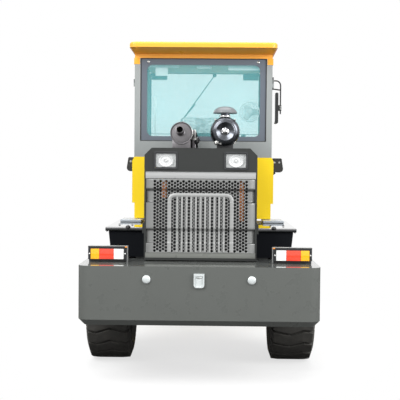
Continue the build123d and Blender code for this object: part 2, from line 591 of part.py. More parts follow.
GLASS = 6
with BuildPart() as rear_window:
    block(room, (CAB_REAR + 14, CAB_REAR + 14 + GLASS), (CAB_SILL, CAB_HEADER))
save(rear_window, "rear_window")

with BuildPart() as windshield:
    block(room, (CAB_FRONT - 14 - GLASS, CAB_FRONT - 14), (CAB_WAIST + 20, CAB_HEADER))
save(windshield, "windshield")

with BuildPart() as quarter_windows:
    for side in (-1, 1):
        across = (side * (HALF_CAB - 20), side * (HALF_CAB - 20 - GLASS))
        block(across, (CAB_REAR + POST, DOOR_Y[0] - 4 - POST), (CAB_SILL, CAB_HEADER))
save(quarter_windows, "quarter_windows")

# Doors: a painted lower panel and a framed window, hinged on the rear post.
for label, side in SIDES:
    leaf = (side * (HALF_CAB - DOOR_THICKNESS - 2), side * (HALF_CAB + 2))
    with BuildPart() as door:
        block(leaf, DOOR_Y, DOOR_Z)
        pane_y = (DOOR_Y[0] + 60, DOOR_Y[1] - 60)
        through = (leaf[0] - side * 10, leaf[1] + side * 10)
        block(through, pane_y, (CAB_WAIST + 60, DOOR_Z[1] - 60), Mode.SUBTRACT)
        block(through, (DOOR_Y[0] + 90, DOOR_Y[1] - 90), (DOOR_Z[0] + 120, CAB_WAIST - 40), Mode.SUBTRACT)
        sheet = (side * (HALF_CAB - 14), side * (HALF_CAB - 6))
        block(sheet, (DOOR_Y[0] + 85, DOOR_Y[1] - 85), (DOOR_Z[0] + 115, CAB_WAIST - 35))
        handle_y = DOOR_Y[1] - 50
        block((leaf[1], leaf[1] + side * 30), (handle_y - 12, handle_y + 12), (1700, 1860))
        pin = (side * HINGE_X, DOOR_Y[0] - 2)
        for level in HINGE_LEVELS:
            low, high = level + HINGE_HEIGHT, level + 2 * HINGE_HEIGHT
            bar((*pin, low), (*pin, high), HINGE_RADIUS)
            block((leaf[1], side * (HALF_CAB + 10)), (pin[1], DOOR_Y[0] + 70), (low, high))
            bar((*pin, low - 5), (*pin, high + 5), HINGE_PIN + 0.3, Mode.SUBTRACT)
    save(door, f"door_{label}")
    with BuildPart() as pane:
        pane_x = (side * (HALF_CAB - 12), side * (HALF_CAB - 12 - GLASS))
        block(pane_x, pane_y, (CAB_WAIST + 60, DOOR_Z[1] - 60))
    save(pane, f"door_{label}_glass")

# Seat: a suspension box with arm rests, and the cushion and the back as soft solids on it.
SEAT_Y = CAB_REAR + 430
PAN_TOP = 1580
SOFT_GAP = 0.3
BACK_FOOT = (SEAT_Y - 200, 1690)
BACK_LENGTH = 460
BACK_DEPTH = 100
BACK_LEAN = radians(7.5)


def behind_back(distance, height):
    """The point (Y, Z) this far behind the back's middle plane, at a height."""
    fall = (height - BACK_FOOT[1]) * sin(BACK_LEAN) + distance
    return (BACK_FOOT[0] - fall / cos(BACK_LEAN), height)


SHELL = (BACK_DEPTH / 2 + SOFT_GAP, BACK_DEPTH / 2 + SOFT_GAP + 18)
with BuildPart() as seat_base:
    block((-170, 170), (SEAT_Y - 160, SEAT_Y + 160), (FLOOR_TOP, PAN_TOP - 20))
    block((-235, 235), (SEAT_Y - 280, SEAT_Y + 230), (PAN_TOP - 20, PAN_TOP))
    shell_foot = [behind_back(SHELL[1], PAN_TOP), behind_back(SHELL[0], PAN_TOP)]
    plate((-150, 150), shell_foot + [behind_back(SHELL[0], 2000), behind_back(SHELL[1], 2000)])
    for side in (-1, 1):
        block((side * 255, side * 305), (SEAT_Y - 200, SEAT_Y + 100), (1800, 1840))
        block((side * 255, side * 275), (SEAT_Y - 200, SEAT_Y - 160), (PAN_TOP - 20, 1800))
        block((side * 235, side * 275), (SEAT_Y - 200, SEAT_Y - 160), (PAN_TOP - 20, PAN_TOP))
save(seat_base, "seat_base")

with BuildPart() as seat_cushion:
    block((-240, 240), (SEAT_Y - 190, SEAT_Y + 250), (PAN_TOP + SOFT_GAP, PAN_TOP + 110))
    fillet(seat_cushion.edges().filter_by(Axis.Z), 60)
    fillet(seat_cushion.faces().sort_by(Axis.Z)[-1].edges(), 35)
save(seat_cushion, "seat_cushion")

with BuildPart() as seat_back:
    upward = (0, -sin(BACK_LEAN), cos(BACK_LEAN))
    with BuildSketch(Plane((0, *BACK_FOOT), x_dir=(1, 0, 0), z_dir=upward)) as foot:
        Rectangle(440, BACK_DEPTH)
        fillet(foot.vertices(), 40)
    extrude(foot.sketch, BACK_LENGTH)
    fillet(seat_back.faces().sort_by(Axis.Z)[-1].edges(), 30)
save(seat_back, "seat_back")

# Steering column with its wheel, the front console and the two working levers.
WHEEL_CENTRE = (0, CAB_FRONT - 330, 2010)
with BuildPart() as steering_column:
    block((-150, 150), (CAB_FRONT - 170, CAB_FRONT - 60), (FLOOR_TOP, 1850))
    bar((0, CAB_FRONT - 130, 1500), WHEEL_CENTRE, 26)
    wheel_plane = Plane(WHEEL_CENTRE, x_dir=(1, 0, 0), z_dir=(0, -200, 510))
    with BuildSketch(wheel_plane) as ring:
        Circle(190)
        Circle(164, mode=Mode.SUBTRACT)
        Rectangle(340, 26)
        Circle(40)
    extrude(ring.sketch, 13, both=True)
save(steering_column, "steering_column")

with BuildPart() as control_levers:
    block((300, 420), (SEAT_Y - 60, SEAT_Y + 320), (FLOOR_TOP, 1760))
    for lever in range(2):
        x = 330 + lever * 60
        bar((x, SEAT_Y + 240, 1750), (x, SEAT_Y + 260, 1960), 8)
        bar((x, SEAT_Y + 259, 1950), (x, SEAT_Y + 264, 2010), 20)
save(control_levers, "control_levers")

# Work lamps under the roof's front edge, and the round fan inside the rear window.
with BuildPart() as roof_lamps:
    for side in (-1, 1):
        x = side * 480
        block((x - 80, x + 80), (CAB_FRONT + 20, CAB_FRONT + 80), (ROOF_BOTTOM - 110, ROOF_BOTTOM - 20))
        block((x - 15, x + 15), (CAB_FRONT + 30, CAB_FRONT + 60), (ROOF_BOTTOM - 20, ROOF_BOTTOM))
save(roof_lamps, "roof_lamps")

FAN = (430, CAB_REAR + 150, 2200)
with BuildPart() as cab_fan:
    bar((FAN[0], FAN[1] - 30, FAN[2]), (FAN[0], FAN[1] + 30, FAN[2]), 95)
    bar((FAN[0], FAN[1] + 25, FAN[2]), (HALF_CAB - POST, FAN[1] + 25, FAN[2]), 12)
save(cab_fan, "cab_fan")

# Mirror on the right front post, on a bent tube from a bracket.
MIRROR_X = 751
MIRROR_Y = CAB_FRONT - 22
MIRROR_Z = (2150, 2471)
ARM_X = 790
with BuildPart() as mirror:
    block((MIRROR_X - 17, MIRROR_X + 17), (MIRROR_Y - 10, MIRROR_Y + 150), MIRROR_Z)
    fillet(mirror.edges().filter_by(Axis.Y), 14)
    block((MIRROR_X + 10, ARM_X + 10), (MIRROR_Y - 12, MIRROR_Y + 12), (2280, 2340))
    with BuildLine() as arm:
        FilletPolyline((HALF_CAB + 60, MIRROR_Y, 2593), (ARM_X, MIRROR_Y, 2593), (ARM_X, MIRROR_Y, 2247), radius=50)
    with BuildSketch(Plane(origin=arm.line @ 0, z_dir=arm.line % 0)) as tube:
        Circle(7)
    sweep(tube.sketch, path=arm.line)
    bar((HALF_CAB + 60, MIRROR_Y, 2510), (ARM_X, MIRROR_Y, 2497), 7)
    block((HALF_CAB, HALF_CAB + 86), (MIRROR_Y - 20, MIRROR_Y + 20), (2499, 2628))
save(mirror, "mirror")

# ================= front frame =================
# Chassis: two plates on each side with the boom arm's gap between them, and cross members.
FORE = FRONT_AXLE
INNER_PLATE = (TOWER_X - PLATE_GAP / 2 - PLATE, TOWER_X - PLATE_GAP / 2)
OUTER_PLATE = (TOWER_X + PLATE_GAP / 2, TOWER_X + PLATE_GAP / 2 + PLATE)
LUG_RADIUS = 110
LUG_LEVELS = ((608, 640), (810, 842))
PIN_RADIUS = 38
NECK = PIVOT + 285
lower_edge = [(FORE - 580, 350), (FORE - 150, 430), (FORE - 150, 600), (FORE + 150, 600), (FORE + 150, 440)]
upper_edge = [(FORE + 250, 440), (FORE + 300, 780), (FORE + 60, 1010), (FORE - 225, 1560), (FORE - 430, 1560)]
tower_outline = lower_edge + upper_edge + [(FORE - 455, 1010)]
with BuildPart() as front_chassis:
    for side in (-1, 1):
        rear_part = [(NECK - 25, 900), (NECK - 25, 560), (FORE - 760, 350)]
        plate([side * x for x in INNER_PLATE], tower_outline + rear_part)
        plate([side * x for x in OUTER_PLATE], tower_outline + [(FORE - 740, 900), (FORE - 740, 350)])
        for centre, radius in ((BOOM_PIVOT, 36), (LIFT_BASE, 30)):
            cross_bar((side * INNER_PLATE[0], side * (OUTER_PLATE[1] + 12)), centre, radius)
        block((side * INNER_PLATE[0], side * OUTER_PLATE[1]), (FORE - 740, FORE - 715), (560, 880))
        block((side * INNER_PLATE[1], side * OUTER_PLATE[0]), (FORE + 225, FORE + 250), (450, 780))
    between = (-INNER_PLATE[0], INNER_PLATE[0])
    block(between, (NECK, NECK + 25), (560, 890))
    block(between, (FORE - 455, FORE - 430), (620, 1010))
    block(between, (FORE + 225, FORE + 250), (450, 780))
    cross_bar(between, BOOM_PIVOT, 50)
    for bottom, top in LUG_LEVELS:
        with BuildSketch(Plane.XY.offset(bottom)) as lug:
            with BuildLine():
                Line((-240, NECK + 5), (240, NECK + 5))
                Line((240, NECK + 5), (LUG_RADIUS, PIVOT))
                ThreePointArc((LUG_RADIUS, PIVOT), (0, PIVOT - LUG_RADIUS), (-LUG_RADIUS, PIVOT))
                Line((-LUG_RADIUS, PIVOT), (-240, NECK + 5))
            make_face()
        extrude(lug.sketch, top - bottom)
    bar((0, PIVOT, 535), (0, PIVOT, 915), PIN_RADIUS)
    for side in (-1, 1):
        for bottom, top in ((STEER_Z - 45, STEER_Z - 25), (STEER_Z + 25, STEER_Z + 45)):
            block((side * (STEER_FRONT[0] - 35), side * (STEER_FRONT[0] + 35)), (STEER_FRONT[1], NECK + 5), (bottom, top))
            bar((side * STEER_FRONT[0], STEER_FRONT[1], bottom), (side * STEER_FRONT[0], STEER_FRONT[1], top), 35)
save(front_chassis, "front_chassis")

with BuildPart() as front_axle:
    axle(FRONT_AXLE, -1)
    for side in (-1, 1):
        block((side * 290, side * 450), (FRONT_AXLE - 70, FRONT_AXLE + 70), (AXLE_Z, 600))
    bar((0, FRONT_AXLE - 240, AXLE_Z), (0, PIVOT + 60, AXLE_Z), 32)
save(front_axle, "front_axle")

# Front fenders: arched plates over the tyres, each on a bracket from the tower.
FENDER_RADIUS = 555
FENDER_ANGLES = (20, 160)
with BuildPart() as front_fenders:
    for side in (-1, 1):
        hub = (FRONT_AXLE, AXLE_Z)
        with BuildSketch(Plane.YZ.offset(min(side * 600, side * 930))) as arch:
            with BuildLine():
                inner = [polar(hub, FENDER_RADIUS, a) for a in (FENDER_ANGLES[0], 90, FENDER_ANGLES[1])]
                outer = [polar(hub, FENDER_RADIUS + 8, a) for a in (FENDER_ANGLES[1], 90, FENDER_ANGLES[0])]
                ThreePointArc(*inner)
                Line(inner[-1], outer[0])
                ThreePointArc(*outer)
                Line(outer[-1], inner[0])
            make_face()
        extrude(arch.sketch, 330)
        for angle in (65, 115):
            foot = polar(hub, FENDER_RADIUS - 4, angle)
            block((side * 447, side * 900), (foot[0] - 25, foot[0] + 25), (foot[1] - 20, foot[1] - 2))
save(front_fenders, "front_fenders")

# Head lamps: each a housing that narrows to its top, with round lower corners, on a bent bracket.
HEAD_LAMP = (797, FORE - 260)
HEAD_LAMP_Z = (1636, 1792)
with BuildPart() as head_lamps:
    for side in (-1, 1):
        x = side * HEAD_LAMP[0]
        with BuildSketch(Plane.XZ.offset(-HEAD_LAMP[1])) as housing:
            with BuildLine():
                bottom = [(x - 76, HEAD_LAMP_Z[0]), (x + 76, HEAD_LAMP_Z[0])]
                Polyline(*bottom, (x + 52, HEAD_LAMP_Z[1]), (x - 52, HEAD_LAMP_Z[1]), close=True)
            make_face()
            fillet(housing.vertices().group_by(Axis.Y)[0], 40)
            fillet(housing.vertices().group_by(Axis.Y)[-1], 14)
        extrude(housing.sketch, -90)
        foot = (side * OUTER_PLATE[1], side * (OUTER_PLATE[1] + 30))
        block(foot, (HEAD_LAMP[1] + 10, HEAD_LAMP[1] + 70), (1370, 1450))
        bar((side * 475, HEAD_LAMP[1] + 40, 1415), (side * 775, HEAD_LAMP[1] + 40, HEAD_LAMP_Z[0] + 5), 20)
save(head_lamps, "head_lamps")

# ================= boom, bell crank and bucket =================
BOOM_HUB = 72
PIN_GAP = 0.5
arm_top = [(0, BOOM_HUB), (350, 105), (800, 150), (1150, 150), (1500, 110), (1800, 62), (boom_length, 60)]
arm_bottom = [(boom_length, -60), (1750, -66), (1300, -50), (900, -30), (600, -35), (350, -60), (0, -BOOM_HUB)]
with BuildPart() as boom:
    for side in (-1, 1):
        x = side * TOWER_X
        plate((x - ARM_THICKNESS / 2, x + ARM_THICKNESS / 2), [on_boom(*p) for p in arm_top + arm_bottom])
        cross_bar((x - 45, x + 45), BOOM_PIVOT, BOOM_HUB)
        cross_bar((x - 40, x + 40), BUCKET_PIVOT, 60)
        strap((x - 43, x + 43), on_boom(440, 5), on_boom(560, 5), 38, 38)
        for lug_x in ((x - 43, x - 27), (x + 27, x + 43)):
            strap(lug_x, on_boom(500, 0), LIFT_EYE, 60, 48)
        cross_bar((x - 80, x + 80), BOOM_PIVOT, 36 + PIN_GAP, Mode.SUBTRACT)
        cross_bar((x - 80, x + 80), BUCKET_PIVOT, 32 + PIN_GAP, Mode.SUBTRACT)
        for lug_x in ((x - 50, x - 22), (x + 22, x + 50)):
            cross_bar(lug_x, LIFT_EYE, 25, Mode.SUBTRACT)
    cross_bar((-TOWER_X, TOWER_X), CROSS_TUBE, 72)
    for side in (-1, 1):
        strap((side * 62, side * 84), CROSS_TUBE, CRANK_PIVOT, 85, 62)
    cross_bar((-96, 96), CRANK_PIVOT, 32)
save(boom, "boom")

with BuildPart() as bell_crank:
    for side in (-1, 1):
        strap((side * 33, side * 54), CRANK_PIVOT, LINK_REAR, 66, 48)
        strap((side * 33, side * 54), CRANK_PIVOT, TILT_EYE, 66, 48)
        for eye in (LINK_REAR, TILT_EYE):
            cross_bar((side * 30, side * 60), eye, 24, Mode.SUBTRACT)
    cross_bar((-56, 56), CRANK_PIVOT, 60)
    cross_bar((-60, 60), CRANK_PIVOT, 32 + PIN_GAP, Mode.SUBTRACT)
save(bell_crank, "bell_crank")

with BuildPart() as bucket_link:
    strap((-26, 26), LINK_FRONT, LINK_REAR, 50, 42)
    cross_bar((-30, 30), LINK_FRONT, 28 + PIN_GAP, Mode.SUBTRACT)
    cross_bar((-30, 30), LINK_REAR, 24, Mode.SUBTRACT)
save(bucket_link, "bucket_link")

# Bucket: a bent shell between two side plates, with a lip, teeth and the ears of its pins.
BUCKET_SHEET = 16
HEEL = (BUCKET_PIVOT[0] + 400, 0)
BACK = (BUCKET_PIVOT[0] + 100, 300)
CREST = (BUCKET_PIVOT[0] + 130, 845)
LIP = (FRONT_AXLE + FRONT_REACH - 110, 0)
TOOTH_COUNT = 7
with BuildPart() as bucket:
    middle = (BUCKET_PIVOT[0] + 182, 98)
    inner_middle = (middle[0] + BUCKET_SHEET * 0.72, middle[1] + BUCKET_SHEET * 0.7)
    with BuildSketch(Plane.YZ.offset(-BUCKET_WIDTH / 2)) as shell:
        with BuildLine():
            Line(LIP, HEEL)
            ThreePointArc(HEEL, middle, BACK)
            Line(BACK, CREST)
            Line(CREST, (CREST[0] + 70, CREST[1] + 40))
            Line((CREST[0] + 70, CREST[1] + 40), (CREST[0] + 74, CREST[1] + 22))
            Line((CREST[0] + 74, CREST[1] + 22), (CREST[0] + BUCKET_SHEET, CREST[1] - 10))
            Line((CREST[0] + BUCKET_SHEET, CREST[1] - 10), (BACK[0] + BUCKET_SHEET, BACK[1]))
            ThreePointArc((BACK[0] + BUCKET_SHEET, BACK[1]), inner_middle, (HEEL[0], BUCKET_SHEET))
            Line((HEEL[0], BUCKET_SHEET), (LIP[0] - 60, BUCKET_SHEET))
            Line((LIP[0] - 60, BUCKET_SHEET), LIP)
        make_face()
    extrude(shell.sketch, BUCKET_WIDTH)
    for side in (-1, 1):
        x = side * BUCKET_WIDTH / 2
        with BuildSketch(Plane.YZ.offset(min(x, x - side * BUCKET_SHEET))) as cheek:
            with BuildLine():
                Line(LIP, HEEL)
                ThreePointArc(HEEL, middle, BACK)
                Line(BACK, CREST)
                Line(CREST, (CREST[0] + 70, CREST[1] + 40))
                Line((CREST[0] + 70, CREST[1] + 40), (CREST[0] + 330, 420))
                Line((CREST[0] + 330, 420), (LIP[0] - 20, 60))
                Line((LIP[0] - 20, 60), LIP)
            make_face()
        extrude(cheek.sketch, BUCKET_SHEET)
    for tooth in range(TOOTH_COUNT):
        x = (tooth / (TOOTH_COUNT - 1) - 0.5) * (BUCKET_WIDTH - 90)
        tip = LIP[0] + 110
        plate((x - 35, x + 35), [(LIP[0] - 90, 0), (tip, 0), (tip, 8), (LIP[0] - 20, 46), (LIP[0] - 90, 30)])
    ear_back = (BUCKET_PIVOT[0] + 108, 300)
    for side in (-1, 1):
        for ear_x in ((TOWER_X - 64, TOWER_X - 44), (TOWER_X + 44, TOWER_X + 64)):
            ends = (side * ear_x[0], side * ear_x[1])
            cross_bar(ends, BUCKET_PIVOT, 58)
            foot = [(BUCKET_PIVOT[0], 288), (ear_back[0], 430), (middle[0] + 4, middle[1]), (BUCKET_PIVOT[0], 172)]
            plate(ends, foot)
        cross_bar((side * (TOWER_X - 70), side * (TOWER_X + 70)), BUCKET_PIVOT, 32)
        ears = (side * 32, side * 52)
        cross_bar(ears, LINK_FRONT, 50)
        top = (LINK_FRONT[0], LINK_FRONT[1])
        plate(ears, [(top[0], top[1] + 50), (BACK[0] + 12, top[1] + 110), (BACK[0] + 8, BACK[1] - 30), (top[0], top[1] - 50)])
    cross_bar((-60, 60), LINK_FRONT, 28)
save(bucket, "bucket")

# ================= cylinders =================
# Each has a bored barrel on its own base pin and a rod whose eye ends at the part it moves.
def toward(start, end, distance):
    """The point this far from the start on the way to the end, in as many axes as they have."""
    span = Vector(*end) - Vector(*start)
    point = Vector(*start) + span.normalized() * distance
    return tuple(point)[: len(start)]


def cylinder_barrel(x, base, eye, size, pin):
    """Adds a barrel in the lengthwise plane at x; size is its radius, bore, length and eye width."""
    radius, bore, length, eye_width = size
    start, end = ((x, *toward(base, eye, d)) for d in (radius, length))
    bar(start, end, radius)
    cross_bar((x - eye_width / 2, x + eye_width / 2), base, radius + 8)
    bar((x, *toward(base, eye, radius + 45)), (x, *toward(base, eye, length + 5)), bore, Mode.SUBTRACT)
    cross_bar((x - eye_width, x + eye_width), base, pin + PIN_GAP, Mode.SUBTRACT)


def cylinder_rod(x, base, eye, inset, radius, eye_size):
    """Adds a rod from this far off the base to the eye; eye_size is its radius, width and bore."""
    reach = Vector(*eye).sub(Vector(*base)).length
    bar((x, *toward(base, eye, inset)), (x, *toward(base, eye, reach - eye_size[2])), radius)
    cross_bar((x - eye_size[1] / 2, x + eye_size[1] / 2), eye, eye_size[0])
    cross_bar((x - eye_size[1], x + eye_size[1]), eye, eye_size[2], Mode.SUBTRACT)


with BuildPart() as lift_barrels:
    for side in (-1, 1):
        cylinder_barrel(side * TOWER_X, LIFT_BASE, LIFT_EYE, (46, 25.6, 770, 84), 30)
save(lift_barrels, "lift_barrels")

with BuildPart() as lift_rods:
    for side in (-1, 1):
        cylinder_rod(side * TOWER_X, LIFT_BASE, LIFT_EYE, 105, 25, (42, 44, 25))
save(lift_rods, "lift_rods")

with BuildPart() as tilt_barrel:
    cylinder_barrel(0, BOOM_PIVOT, TILT_EYE, (52, 28.6, 930, 90), 50)
save(tilt_barrel, "tilt_barrel")

with BuildPart() as tilt_rod:
    cylinder_rod(0, BOOM_PIVOT, TILT_EYE, 320, 28, (44, 52, 24))
save(tilt_rod, "tilt_rod")

for label, side in SIDES:
    base = (side * STEER_REAR[0], STEER_REAR[1], STEER_Z)
    eye = (side * STEER_FRONT[0], STEER_FRONT[1], STEER_Z)
    reach = (Vector(*eye) - Vector(*base)).length
    with BuildPart() as barrel:
        bar(toward(base, eye, 30), toward(base, eye, 60), 21)
        bar(toward(base, eye, 50), toward(base, eye, 395), STEER_BARREL_RADIUS)
        bar((base[0], base[1], STEER_Z - 22), (base[0], base[1], STEER_Z + 22), 38)
        bar(toward(base, eye, 70), toward(base, eye, 400), 18.6, Mode.SUBTRACT)
        bar((base[0], base[1], STEER_Z - 40), (base[0], base[1], STEER_Z + 40), 20.5, Mode.SUBTRACT)
    save(barrel, f"steer_barrel_{label}")
    with BuildPart() as rod:
        bar(toward(base, eye, 240), toward(base, eye, reach - 20), 18)
        bar((eye[0], eye[1], STEER_Z - 22), (eye[0], eye[1], STEER_Z + 22), 34)
        bar((eye[0], eye[1], STEER_Z - 40), (eye[0], eye[1], STEER_Z + 40), 18, Mode.SUBTRACT)
    save(rod, f"steer_rod_{label}")

# ================= wheels =================
# Tyre: a turned carcass with wavy blocks right across the tread. Rim: a dished disc in a band.
# One of each is made at the right side, and the left ones are turned half round.
FLOOR_RADIUS = TYRE_RADIUS - LUG_DEPTH
HALF_TYRE = TYRE_WIDTH / 2
LUG_PITCH = 360 / LUG_COUNT
PITCH_LENGTH = radians(LUG_PITCH) * TYRE_RADIUS
HALF_LUG = PITCH_LENGTH / 2 - 14
LUG_ROOT = FLOOR_RADIUS - 60
FACE_PLANE = Plane.XZ  # X along the axle, Y away from it
flank = [(-HALF_TYRE + 75, RIM_RADIUS), (-HALF_TYRE, RIM_RADIUS + 110)]
floor_edge = [(-HALF_TYRE + 12, FLOOR_RADIUS - 50), (-HALF_TYRE + 42, FLOOR_RADIUS)]
lug_edge = [(-HALF_TYRE + 20, LUG_ROOT), (-HALF_TYRE, TYRE_RADIUS - 70), (-HALF_TYRE + 22, TYRE_RADIUS - 8)]
lug_edge += [(-60, TYRE_RADIUS + 2)]
wave = ((-HALF_TYRE - 5, 16), (-20, -22), (HALF_TYRE - 90, 20), (HALF_TYRE + 5, 0))


def symmetric(half_profile):
    """A closed profile across the axle: the half given, and its mirror image."""
    with BuildSketch(FACE_PLANE) as section:
        with BuildLine():
            Polyline(*half_profile, *[(-x, r) for x, r in reversed(half_profile)], close=True)
        make_face()
    return section.sketch


with BuildPart() as lug:
    with BuildSketch(Plane.XY.offset(LUG_ROOT)) as outline:
        with BuildLine():
            lead = [(x, y + HALF_LUG) for x, y in wave]
            trail = [(x, y - HALF_LUG) for x, y in reversed(wave)]
            Polyline(*lead, *trail, close=True)
        make_face()
    extrude(outline.sketch, TYRE_RADIUS + 10 - LUG_ROOT)
    extrude(symmetric(lug_edge), PITCH_LENGTH, both=True, mode=Mode.INTERSECT)
    bar((-HALF_TYRE - 9, 0, 0), (HALF_TYRE + 9, 0, 0), TYRE_RADIUS, Mode.INTERSECT)

with BuildPart() as tyre:
    revolve(symmetric(flank + floor_edge), Axis.X)
    for number in range(LUG_COUNT):
        add(lug.part, rotation=(number * LUG_PITCH, 0, 0))
    bar((-HALF_TYRE, 0, 0), (HALF_TYRE, 0, 0), RIM_RADIUS, Mode.SUBTRACT)

RIM_EDGE = HALF_TYRE - 76
with BuildPart() as rim:
    with BuildSketch(FACE_PLANE) as section:
        with BuildLine():
            disc = [(0, RIM_RADIUS - 34), (-30, 130), (-30, STUB_RADIUS + 1), (-45, STUB_RADIUS + 1), (-45, 140)]
            disc += [(-20, RIM_RADIUS - 34), (-RIM_EDGE, RIM_RADIUS - 14), (-RIM_EDGE, RIM_RADIUS - 1)]
            Polyline((RIM_EDGE, RIM_RADIUS - 1), (RIM_EDGE, RIM_RADIUS - 14), *disc, close=True)
        make_face()
    revolve(section.sketch, Axis.X)

for end_label, wheel_y in (("front", FRONT_AXLE), ("rear", REAR_AXLE)):
    for label, side in SIDES:
        place = Location((side * HALF_TRACK, wheel_y, AXLE_Z), (0, 0, 90 - side * 90))
        for kind, source in (("tyre", tyre), ("rim", rim)):
            wheel_piece = source.part.moved(place)
            wheel_piece.label = f"{kind}_{end_label}_{label}"
            export_step(wheel_piece, f"parts/{wheel_piece.label}.step")
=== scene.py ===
import json
from math import atan2, cos, pi, radians, sin, tau

import bmesh
import bpy
from mathutils import Matrix, Vector


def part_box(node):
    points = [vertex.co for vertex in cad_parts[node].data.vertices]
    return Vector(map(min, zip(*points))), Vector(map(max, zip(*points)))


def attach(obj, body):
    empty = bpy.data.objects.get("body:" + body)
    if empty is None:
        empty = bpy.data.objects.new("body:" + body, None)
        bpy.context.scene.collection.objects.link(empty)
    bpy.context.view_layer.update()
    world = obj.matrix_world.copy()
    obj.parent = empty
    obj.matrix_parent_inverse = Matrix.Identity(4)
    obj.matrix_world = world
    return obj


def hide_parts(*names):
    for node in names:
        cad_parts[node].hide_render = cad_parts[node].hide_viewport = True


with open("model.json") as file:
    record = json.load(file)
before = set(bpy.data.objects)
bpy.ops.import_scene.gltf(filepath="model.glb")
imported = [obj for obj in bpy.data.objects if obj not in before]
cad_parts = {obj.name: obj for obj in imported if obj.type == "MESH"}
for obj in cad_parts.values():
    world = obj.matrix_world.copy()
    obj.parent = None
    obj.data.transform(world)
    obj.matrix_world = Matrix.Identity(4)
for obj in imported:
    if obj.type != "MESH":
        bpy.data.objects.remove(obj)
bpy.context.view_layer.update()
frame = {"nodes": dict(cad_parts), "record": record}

NODES = frame["nodes"]
SIDES = (("left", -1), ("right", 1))
CORNERS = ((-1, -1), (-1, 1), (1, -1), (1, 1))
REAR, FRONT, UP, RIGHT = Vector((0, -1, 0)), Vector((0, 1, 0)), Vector((0, 0, 1)), Vector((1, 0, 0))

# ---------------------------------------------------------------- places, from the frame


def low_of(node):
    return Vector(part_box(node)[0])


def high_of(node):
    return Vector(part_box(node)[1])


def centre(node):
    """The middle of a CAD node's box."""
    return (low_of(node) + high_of(node)) / 2


# ---------------------------------------------------------------- materials

EDGE_RADIUS = 0.004
DUST = (0.27, 0.24, 0.19)
DUST_TOP = 1.0  # the height up to which splashed dirt lies
SLOTS = {}  # the record's slot that each material usually stands for


class Graph:
    """A material's node tree, with short calls for the nodes that this scene uses."""

    def __init__(self, name):
        self.material = bpy.data.materials.new(name)
        self.material.use_nodes = True
        self.tree = self.material.node_tree
        self.shader = self.tree.nodes["Principled BSDF"]
        self.place = self.node("ShaderNodeTexCoord").outputs["Object"]

    def put(self, value, socket):
        """Sets a socket to a number, a colour or a vector, or links it where a socket is given."""
        if hasattr(value, "is_linked"):
            self.tree.links.new(value, socket)
        elif isinstance(value, (int, float)):
            socket.default_value = value
        else:
            socket.default_value = (*value, 1)[:len(socket.default_value)]

    def node(self, kind, **inputs):
        made = self.tree.nodes.new(kind)
        for key, value in inputs.items():
            self.put(value, made.inputs[key.replace("_", " ")])
        return made

    def set(self, **inputs):
        """Sets the shader's own sockets."""
        for key, value in inputs.items():
            self.put(value, self.shader.inputs[key.replace("_", " ")])

    def finish(self, slot):
        """The finished material, with the slot that it stands for noted."""
        SLOTS[self.material.name] = slot
        return self.material

    def maths(self, operation, first, second, kind="ShaderNodeMath"):
        made = self.node(kind)
        made.operation = operation
        self.put(first, made.inputs[0])
        self.put(second, made.inputs[1])
        return made

    def along(self, axis):
        """The place along one axis of the object's own space."""
        return self.node("ShaderNodeSeparateXYZ", Vector=self.place).outputs[axis]

    def spread(self, value, start, end, first=0.0, last=1.0):
        """Maps the range from start to end onto first to last, and holds it there."""
        made = self.node("ShaderNodeMapRange", Value=value, From_Min=start, From_Max=end, To_Min=first,
                         To_Max=last)
        return made.outputs["Result"]

    def noise(self, scale, detail=3.0, roughness=0.5, stretch=None):
        """Noise over the object's own space, about 0 to 1; stretch scales each axis."""
        place = self.place
        if stretch:
            place = self.node("ShaderNodeMapping", Scale=stretch, Vector=place).outputs["Vector"]
        made = self.node("ShaderNodeTexNoise", Scale=scale, Detail=detail, Roughness=roughness, Vector=place)
        return made.outputs["Fac"]

    def ramp(self, value, stops):
        """A colour ramp; stops are pairs of position and grey level or colour."""
        made = self.node("ShaderNodeValToRGB", Fac=value)
        points = made.color_ramp.elements
        while len(points) < len(stops):
            points.new(0.5)
        for point, (position, colour) in zip(points, stops):
            point.position = position
            point.color = (colour,) * 3 + (1,) if isinstance(colour, (int, float)) else (*colour, 1)
        return made.outputs["Color"]

    def mix(self, factor, first, second, blend="MIX"):
        """Mixes two colours; each is a socket or a plain colour."""
        made = self.node("ShaderNodeMix")
        made.data_type = "RGBA"
        made.blend_type = blend
        for value, socket in ((factor, 0), (first, 6), (second, 7)):
            self.put(value, made.inputs[socket])
        return made.outputs[2]

    def bump(self, height, strength, distance):
        made = self.node("ShaderNodeBump", Strength=strength, Distance=distance, Height=height)
        self.set(Normal=made.outputs["Normal"])

    def higher_than(self, height):
        """1 above a height and 0 below it: where one paint gives way to another."""
        return self.maths("GREATER_THAN", self.along("Z"), height).outputs[0]

    def dust_mask(self):
        """1 low down and 0 high up, broken by noise: where splashed dirt lies."""
        patch = self.ramp(self.noise(5.0, 6.0, 0.6), ((0.35, 0.0), (0.75, 1.0)))
        return self.maths("MULTIPLY", self.spread(self.along("Z"), 0.0, DUST_TOP, 1.0, 0.0), patch).outputs[0]

    def worn_edges(self, amount):
        """1 along sharp edges, broken by noise: where paint wears and dirt gathers."""
        rounded_normal = self.node("ShaderNodeBevel", Radius=EDGE_RADIUS)
        rounded_normal.samples = 4
        true_normal = self.node("ShaderNodeNewGeometry").outputs["Normal"]
        normals = rounded_normal.outputs["Normal"], true_normal
        likeness = self.maths("DOT_PRODUCT", *normals, "ShaderNodeVectorMath")
        edge = self.ramp(likeness.outputs["Value"], ((0.90, amount), (0.985, 0.0)))
        grain = self.ramp(self.noise(60.0, 4.0), ((0.42, 0.0), (0.66, 1.0)))
        return self.mix(1.0, edge, grain, "MULTIPLY")


def tint(colour, share):
    return tuple(min(1, c * share) for c in colour)


